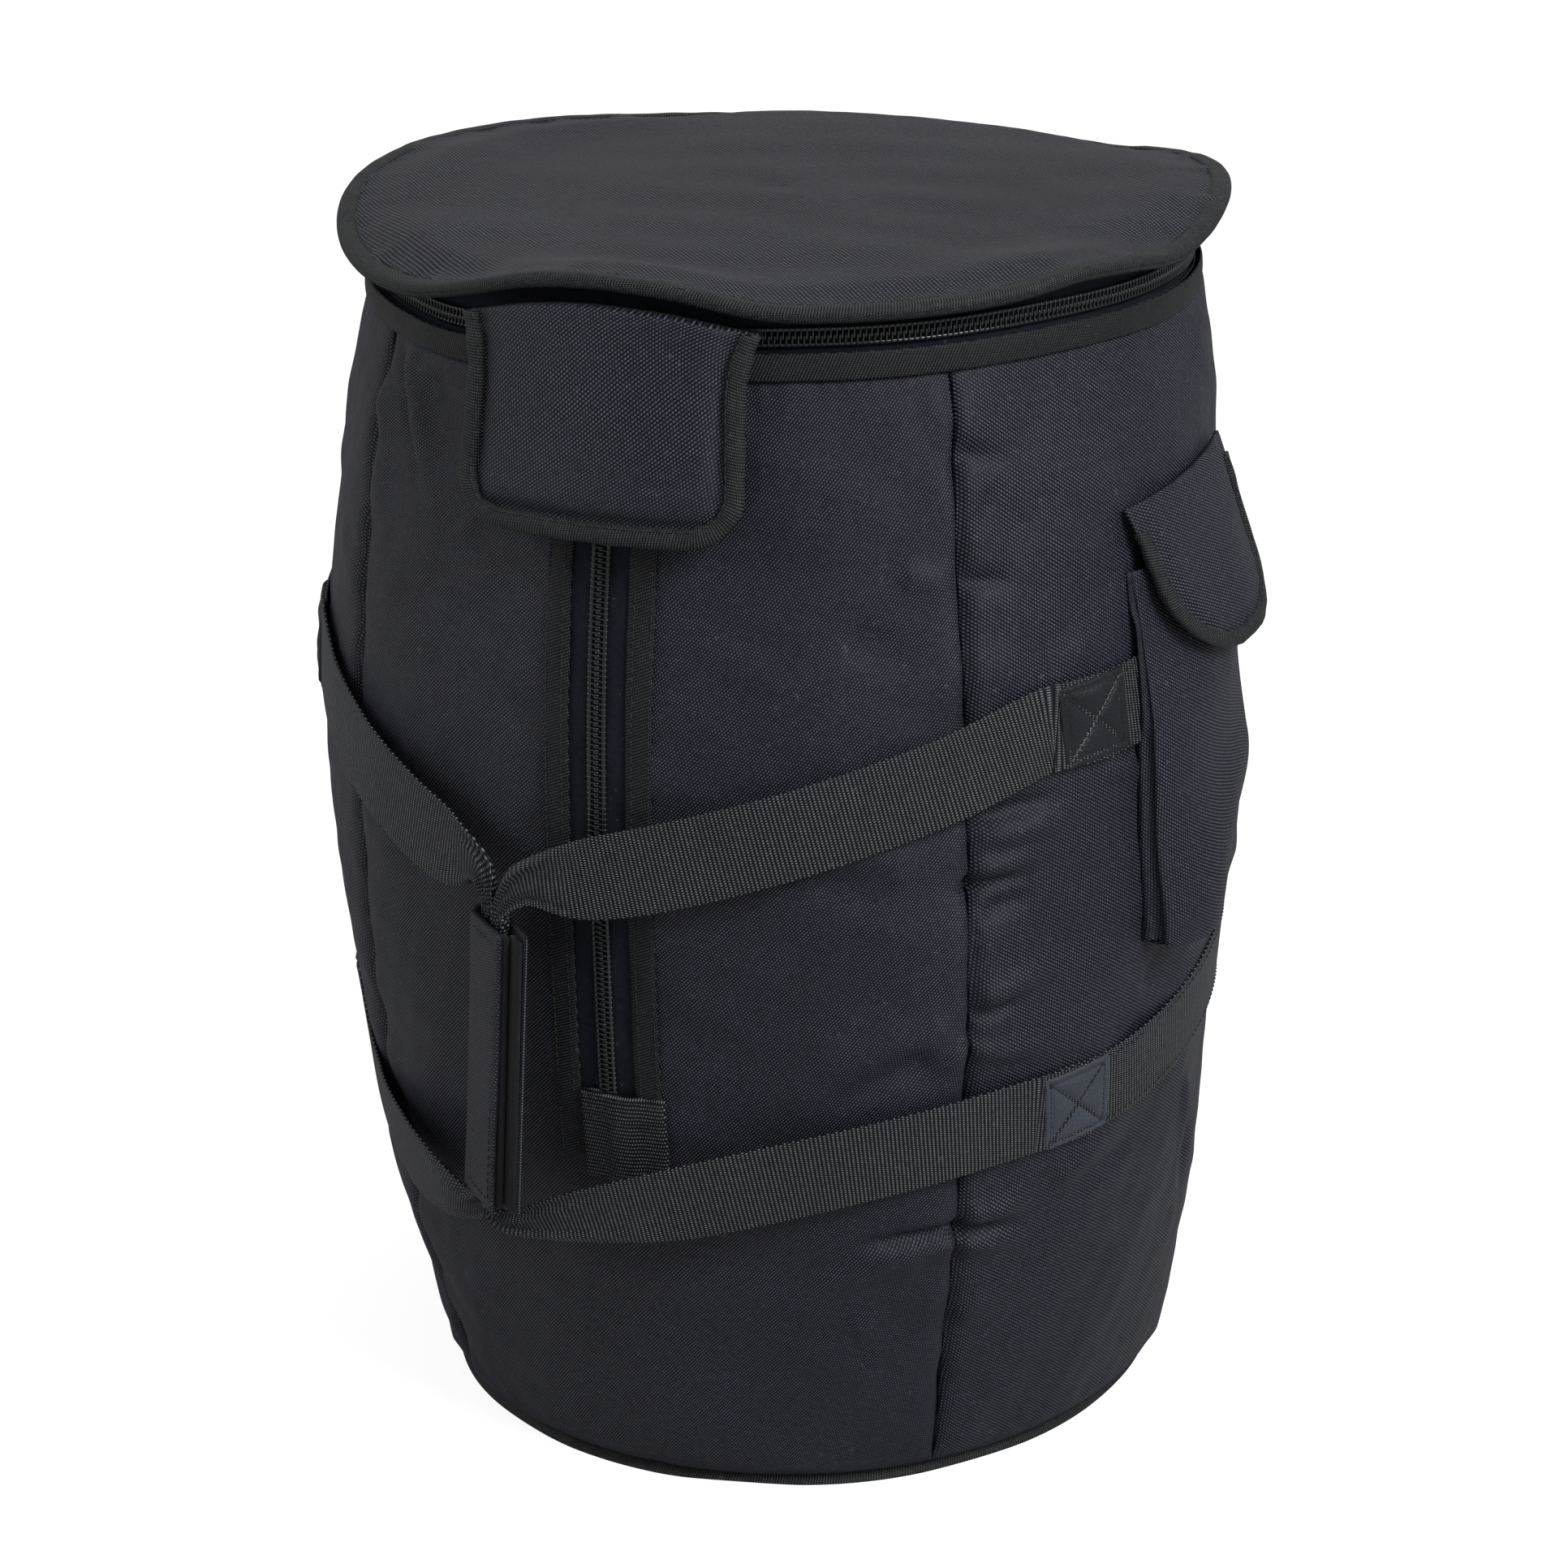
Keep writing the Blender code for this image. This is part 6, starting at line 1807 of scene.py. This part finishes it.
@dataclass
class Grip:
    """Cloth sleeve folded round both handles, its closing flap and the hook and loop inside."""

    handles: Handles
    space: float = 0.0070
    panel: float = 0.0022
    hook_width: float = 0.011
    hook_thick: float = 0.0031

    @property
    def free_edge(self) -> float:
        """Depth of the closing flap's free edge."""
        return self.handles.grip_depth - self.hook_width * 0.6

    def upright(self, outline: Array, low: float, high: float, seed: int) -> Form:
        """A closed plan outline of depths and outs, carried up the grip with a soft waviness.

        Args:
            outline: Closed outline of depth and out pairs.
            low: Lower end.
            high: Upper end.
            seed: Seed of the waviness.

        Returns:
            The form.
        """
        levels = eased_span(low, high, 44, 0.0012)
        depth, out = matched(*outline.T[:, None], levels[:, None])[:2]
        give = 0.0004 * ripple(depth * 2, levels[:, None], seed, 0.11, 6)
        points = self.handles.grip_point(depth, levels[:, None], out + give)
        uv = pairs(path_length(outline)[None], levels[:, None])
        return Form(points.reshape(-1, 3), tube(*points.shape[:2]), uv.reshape(-1, 2))

    def sleeve(self) -> Form:
        """The back half of the sleeve: a panel that turns round the fold like a hairpin."""
        half = self.space / 2
        depth = self.handles.grip_depth
        outer = half + self.panel
        outside = [(depth, -outer + 0.0004), (depth * 0.75, -outer), (depth * 0.4, -outer - 0.0004), (0.0, -outer)]
        turn = np.linspace(-math.pi / 2, 0.30 * math.pi, 9)
        bend = np.stack([-np.cos(turn) * (outer * 0.75), np.sin(turn) * outer], -1)
        inner_bend = np.stack([-np.cos(turn) * (half * 0.55), np.sin(turn) * half], -1)[::-1]
        inside = [(0.0, -half), (depth * 0.4, -half), (depth * 0.75, -half), (depth, -half - 0.0003)]
        outline = np.array(outside + bend.tolist() + inner_bend.tolist() + inside)
        return self.upright(outline, self.handles.grip_low, self.handles.grip_top, 91)

    def flap(self) -> Form:
        """The closing flap: a flat padded panel with rounded long edges."""
        half = self.space / 2
        start, end = -half / 2, self.free_edge
        middle, width = (start + end) / 2, end - start
        outline = rounded_profile(width, self.panel + 0.0008, 5.0, 30) + [middle, half + self.panel / 2 + 0.0003]
        inset = self.handles.grip_length * 0.01
        return self.upright(outline, self.handles.grip_low + inset, self.handles.grip_top - inset, 92)

    def strip(self, first: float, last: float, near: float, far: float) -> Form:
        """A fluffy strip between two depths and two outs."""
        outline = rounded_profile(last - first, far - near, 5.0, 24) + [(first + last) / 2, (near + far) / 2]
        inset = self.handles.grip_length * 0.02
        return self.upright(outline, self.handles.grip_low + inset, self.handles.grip_top - inset, 93)

    def stitches(self) -> Form:
        """Stitch rows along the flap's free edge, its hems and the sleeve's outside."""
        handles = self.handles
        over = self.space / 2 + self.panel + 0.0011
        low, top = handles.grip_low + 0.006, handles.grip_top - 0.006
        levels = np.linspace(low, top, 60)
        depths = np.linspace(0.004, handles.grip_depth - 0.011, 12)
        lines = [handles.grip_point(handles.grip_depth - 0.0095, levels, over)]
        lines += [handles.grip_point(depths, level, over) for level in (low, top)]
        return joined([STITCHES.run(line, np.tile(handles.grip_face, (len(line), 1))) for line in lines])

    def frayed_edge(self) -> Form:
        """Short pale threads along the sleeve's free edge."""
        handles = self.handles
        levels = np.linspace(handles.grip_low + 0.001, handles.grip_top - 0.001, 60)
        path = handles.grip_point(handles.grip_depth + 0.0001, levels, -self.space / 2 - self.panel / 2)
        return Stitching(0.0013, 0.0007, 0.0006).run(path, np.tile(handles.grip_ahead, (len(path), 1)))

    def build(self, dresser: Dresser) -> None:
        """Makes and dresses the grip."""
        half, end = self.space / 2, self.handles.grip_depth
        dresser.piece(self.sleeve(), "grip_wrap", CLOTH, "left_handle", ("grip_sleeve",), 0.3)
        dresser.piece(self.flap(), "grip_closing_flap", CLOTH, "grip_flap", ("grip_flap",), 0.3)
        hook = self.strip(self.free_edge - self.hook_width, self.free_edge, half - self.hook_thick - 0.0002, half)
        dresser.piece(hook, "grip_hooks", FLUFF, "grip_flap", ("grip_hook_strip",))
        loop = self.strip(end - self.hook_width, end - 0.0003, -half, -half + self.hook_thick)
        dresser.piece(loop, "grip_loops", FLUFF, "left_handle", ("grip_loop_strip",))
        dresser.piece(self.stitches(), "grip_stitches", THREAD, "grip_flap")
        dresser.piece(self.frayed_edge(), "grip_frayed_edge", PALE_THREAD, "left_handle")


# Side pocket


@dataclass
class Pocket:
    """Pouch with folded sides, and the flap over its mouth."""

    handles: Handles
    angle: float = math.radians(82.5)
    width: float = 0.106
    bottom: float = 0.2525
    top: float = 0.4260
    depth: float = 0.0168
    mouth_depth: float = 0.0062
    corner_rise: float = 0.17
    cloth: float = 0.0016
    flap_height: float = 0.4560
    flap_width: float = 0.103
    flap_drop: float = 0.076
    flap_corner: float = 0.044
    flap_reach: float = 0.0185
    flap_tilt: float = math.radians(5)
    flap_lean: float = math.radians(12)
    flap_cloth: float = 0.0022
    flap_band: float = 0.0075
    closure: float = 0.050
    arch_power: Spot = (0.5, 0.42)
    fold: float = 0.0042
    crown: float = 0.0016
    unevenness: float = 0.0012

    def seat(self, height: Array) -> Array:
        """Offset of the pouch's edge, stepping smoothly over the webbing that runs under it."""
        straps = self.handles
        middle = float(straps.back_height(np.array(self.angle), straps.right_upper, straps.left_upper))
        near = smooth((straps.webbing / 2 + 0.012 - np.abs(height - middle)) / 0.010)
        return 0.0006 + 0.0028 * near

    def front_depth(self, height: Array) -> Array:
        """How far the front stands off: deepest at the foot and evenly less towards the mouth."""
        rise = (height - self.bottom) / (self.top - self.bottom)
        return self.depth + (self.mouth_depth - self.depth) * np.clip(rise, 0, 1)

    def section(self, height: Array, turn: Array, inset: float) -> Array:
        """Plan of the pouch: a wide arch whose sides fold in under the front edge like a gusset.

        The arch is across = -sign(cos) |cos|^0.5 and out = depth sin^0.42 (arch_power), its sides fold in, and
        the far lower corner is drawn up.

        Args:
            height: Heights.
            turn: How far round the arch, from 0 to half a turn.
            inset: Distance inside the cloth's outer face.

        Returns:
            The points.
        """
        rise = (height - self.bottom) / (self.top - self.bottom)
        narrow = 1 - 0.10 * smooth(1 - 2.6 * rise) * (turn > math.pi / 2)
        half = (self.width / 2 - inset) * (0.92 + 0.08 * smooth(rise * 3)) * narrow
        seat = self.seat(height)
        full = np.maximum(self.front_depth(height) - inset - seat, 0.0008)
        level = np.sin(turn) ** self.arch_power[1]
        across = -np.sign(np.cos(turn)) * np.abs(np.cos(turn)) ** self.arch_power[0]
        height = height + (self.top - height) * self.corner_rise * smooth((across + 0.7) / 1.5) ** 1.3
        fold = self.fold * bump(level, 0.42, 0.20) * smooth(full / 0.010) * smooth((1 - rise) * 4 + 0.3)
        tuck = across * half - np.sign(across) * fold
        lean = self.unevenness * ripple(across * half + 0 * height, height + 0 * across, 101, 0.07, 6) * level
        crown = self.crown * (1 - across**2) * smooth((1 - rise) * 3)
        flatter = 1 - (0.20 + 0.60 * smooth(1 - 3.2 * rise)) * smooth((across + 0.5) / 1.2)
        out = seat + (full * level + crown * level) * flatter + lean * (0.4 if inset else 1.0)
        foot = smooth(np.clip(rise / 0.012, 0.0, 1.0)) ** 0.5
        out = seat + (out - seat) * foot
        bottom_curl = -0.004 * bump(rise, 0.0, 0.06) * np.abs(across) ** 3
        return BARREL.point(self.angle + tuck / BARREL.radius(height), height - bottom_curl, np.maximum(out, seat))

    def pouch(self) -> Form:
        """The pouch: cloth between the outer and inner arches, closed along its bottom fold."""
        foot = self.bottom + 0.02 * np.linspace(0.0, 1.0, 24)[:-1] ** 1.6
        heights = np.concatenate([foot, np.linspace(self.bottom + 0.02, self.top, 60)])[:, None]
        fine = np.linspace(0.0, 0.35, 22)[:-1]
        turn = np.concatenate([fine, np.linspace(0.35, math.pi - 0.35, 40), math.pi - fine[::-1]])[None]
        outer = self.section(heights, turn, 0.0)
        inner = self.section(heights, turn, self.cloth)
        return shell(outer, inner, pairs(path_length(outer[30])[None], heights))

    def flap_middle(self, across: Array, down: Array) -> Array:
        """The flap's back: it leaves the wall, clears the pouch's mouth and hangs down, bowed and tilted."""
        share = down / self.flap_drop
        side = across * math.cos(self.flap_tilt) + down * math.sin(self.flap_lean)
        height = self.flap_height - down * math.cos(self.flap_lean) + across * math.sin(self.flap_tilt)
        bow = 1 - 0.25 * (2 * across / self.flap_width) ** 2
        soft = 0.0010 * ripple(across, down, 111, 0.06, 6) * smooth(share * 2)
        out = 0.0020 + self.flap_reach * bow * np.clip(share, 0, 1) ** 0.85 + soft
        return BARREL.point(self.angle + side / BARREL.radius(height), height, out)

    def flap_place(self, across: Array, down: Array, offset: Array) -> Array:
        """A place at an offset along the normal of the flap's back."""
        across, down, offset = matched(across, down, offset)
        step = 0.002
        over = self.flap_middle(across + step, down) - self.flap_middle(across - step, down)
        below = self.flap_middle(across, down + step) - self.flap_middle(across, down - step)
        return self.flap_middle(across, down) + unit(np.cross(below, over)) * offset[..., None]

    def build(self, dresser: Dresser) -> None:
        """Makes and dresses the pocket."""
        dresser.piece(self.pouch(), "side_pouch", SIDE_CLOTH, "body", ("pocket_pouch",), 0.3)
        flap = Tongue(
            self.flap_place, self.flap_width / 2, self.flap_drop, self.flap_corner, self.flap_cloth, self.flap_band,
            bound_thick=0.0046, crown=0.0006, top=self.flap_drop * 0.14,
        )
        dresser.piece(flap.pad(), "pouch_flap", SIDE_CLOTH, "pocket_flap", ("pocket_flap",), 0.3)
        dresser.piece(flap.edge(), "pouch_flap_edge", BINDING, "pocket_flap", ("pocket_flap_binding",))
        dresser.piece(flap.stitches(), "pouch_flap_stitches", THREAD, "pocket_flap")
        across = np.linspace(-self.closure / 2, self.closure / 2, 25)[None]
        heights = np.linspace(self.top - 0.028, self.top - 0.010, 12)[:, None]
        angle = self.angle + across / BARREL.radius(heights)
        near = self.front_depth(heights) + 0.0004
        layers = [BARREL.point(angle, heights, near + lift) for lift in (0.0014, 0.0002)]
        loops = shell(*layers, pairs(across, heights))
        dresser.piece(loops, "pouch_loops", FLUFF, "body", ("pocket_loop_strip",))
        downs = np.linspace(0.038, 0.054, 12)[:, None]
        layers = [self.flap_place(across, downs, lift) for lift in (-0.0003, -0.0015)]
        hooks = shell(*layers, pairs(across, -downs))
        dresser.piece(hooks, "flap_hooks", FLUFF, "pocket_flap", ("pocket_hook_strip",))


# Studio


@dataclass(frozen=True)
class Studio:
    """Camera, soft lights and pale floor."""

    distance: float = 2.0553
    tilt: float = 0.3646
    turn: float = math.radians(22.7)
    roll: float = -0.0118
    focal: float = 5438.4
    pixels: float = 1932.0
    shift: float = 7.84
    aim: float = 0.277
    floor_half: float = 9.0
    floor_level: float = -0.0003
    floor_grey: float = 0.45
    floor_glow: float = 0.86
    air_glow: float = 0.32
    seen_glow: float = 0.72

    def camera(self) -> None:
        """Places the camera: distance from the aim, at the turn and tilt of the photograph, rolled slightly."""
        across = math.cos(self.tilt)
        away = Vector((across * math.sin(self.turn), -across * math.cos(self.turn), math.sin(self.tilt)))
        place = Vector((0.0, 0.0, self.aim)) + away * self.distance
        right = Vector((-away.y, away.x, 0.0)).normalized()
        up = (-away).cross(-right).normalized()
        rolled_right = right * math.cos(self.roll) + up * math.sin(self.roll)
        rolled_up = up * math.cos(self.roll) - right * math.sin(self.roll)
        data = bpy.data.cameras.new("camera")
        data.sensor_width = 36.0
        data.lens = self.focal / self.pixels * data.sensor_width
        data.shift_x = -self.shift / self.pixels
        data.clip_end = 60.0
        camera = bpy.data.objects.new("camera", data)
        turned = Matrix((rolled_right, rolled_up, away)).transposed().to_4x4()
        camera.matrix_world = Matrix.Translation(place) @ turned
        bpy.context.scene.collection.objects.link(camera)
        bpy.context.scene.camera = camera

    def lamp(self, name: str, place: tuple[float, float, float], size: float, power: float) -> None:
        """A square soft box that faces the bag's middle."""
        data = bpy.data.lights.new(name, "AREA")
        data.size = size
        data.energy = power
        lamp = bpy.data.objects.new(name, data)
        lamp.location = place
        way = Vector((0.0, 0.0, 0.28)) - Vector(place)
        lamp.rotation_euler = way.to_track_quat("-Z", "Y").to_euler()
        bpy.context.scene.collection.objects.link(lamp)

    def floor(self) -> None:
        """A pale floor that keeps the bag's shadow, lifted a little for the camera alone."""
        mesh = bpy.data.meshes.new("studio_floor")
        size, grey = self.floor_half, self.floor_grey
        corners = [(x * size, y * size, self.floor_level) for x, y in ((-1, -1), (1, -1), (1, 1), (-1, 1))]
        mesh.from_pydata(corners, [], [(0, 1, 2, 3)])
        floor = bpy.data.objects.new("studio_floor", mesh)
        bpy.context.scene.collection.objects.link(floor)
        material = bpy.data.materials.new("studio_floor")
        material.use_nodes = True
        nodes = Nodes(material.node_tree)
        ray = nodes.node("ShaderNodeLightPath", {}).outputs["Is Camera Ray"]
        nodes.feed(material.node_tree.nodes["Principled BSDF"], {
            "Base Color": (grey, grey, grey, 1.0), "Roughness": 0.9, "Specular IOR Level": 0.0,
            "Emission Color": (1.0, 1.0, 1.0, 1.0), "Emission Strength": nodes.maths("MULTIPLY", ray, self.floor_glow),
        })
        mesh.materials.append(material)

    def world(self) -> None:
        """Even light from all round, white where the camera or a reflection sees it."""
        world = bpy.data.worlds.new("studio")
        world.use_nodes = True
        nodes = Nodes(world.node_tree)
        ray = nodes.node("ShaderNodeLightPath", {}).outputs["Is Camera Ray"]
        glow = {0: ray, 1: self.seen_glow, 2: self.air_glow}
        light = nodes.node("ShaderNodeMath", glow, operation="MULTIPLY_ADD").outputs[0]
        nodes.feed(world.node_tree.nodes["Background"], {"Color": (1.0, 1.0, 1.0, 1.0), "Strength": light})
        bpy.context.scene.world = world

    def build(self) -> None:
        """Sets up the whole studio."""
        self.camera()
        self.floor()
        self.world()
        self.lamp("key_light", (2.15, -1.0, 2.2), 1.2, 50.0)
        self.lamp("fill_light", (-2.3, -0.9, 1.3), 1.6, 11.0)
        self.lamp("top_light", (0.3, 0.5, 2.6), 1.6, 4.0)
        bpy.context.scene.view_settings.view_transform = "Standard"


def main() -> None:
    """Builds every sub-assembly in order and reports each piece."""
    logging.basicConfig(level=logging.INFO, format="%(message)s")
    dresser = Dresser()
    handles = Handles()
    Studio().build()
    for part in (Wall(), Base(), MouthZip(), FrontZip(), LID, Bib(), handles, Grip(handles), Pocket(handles)):
        part.build(dresser)
        log.info("%s done", type(part).__name__)
    for slider in ("mouth_left", "mouth_right", "front"):
        dresser.redress(f"{slider}_slider", METAL)
        dresser.redress(f"{slider}_pull", METAL)
    log.info("%d pieces in all", dresser.count)


if __name__ == "__main__":
    main()
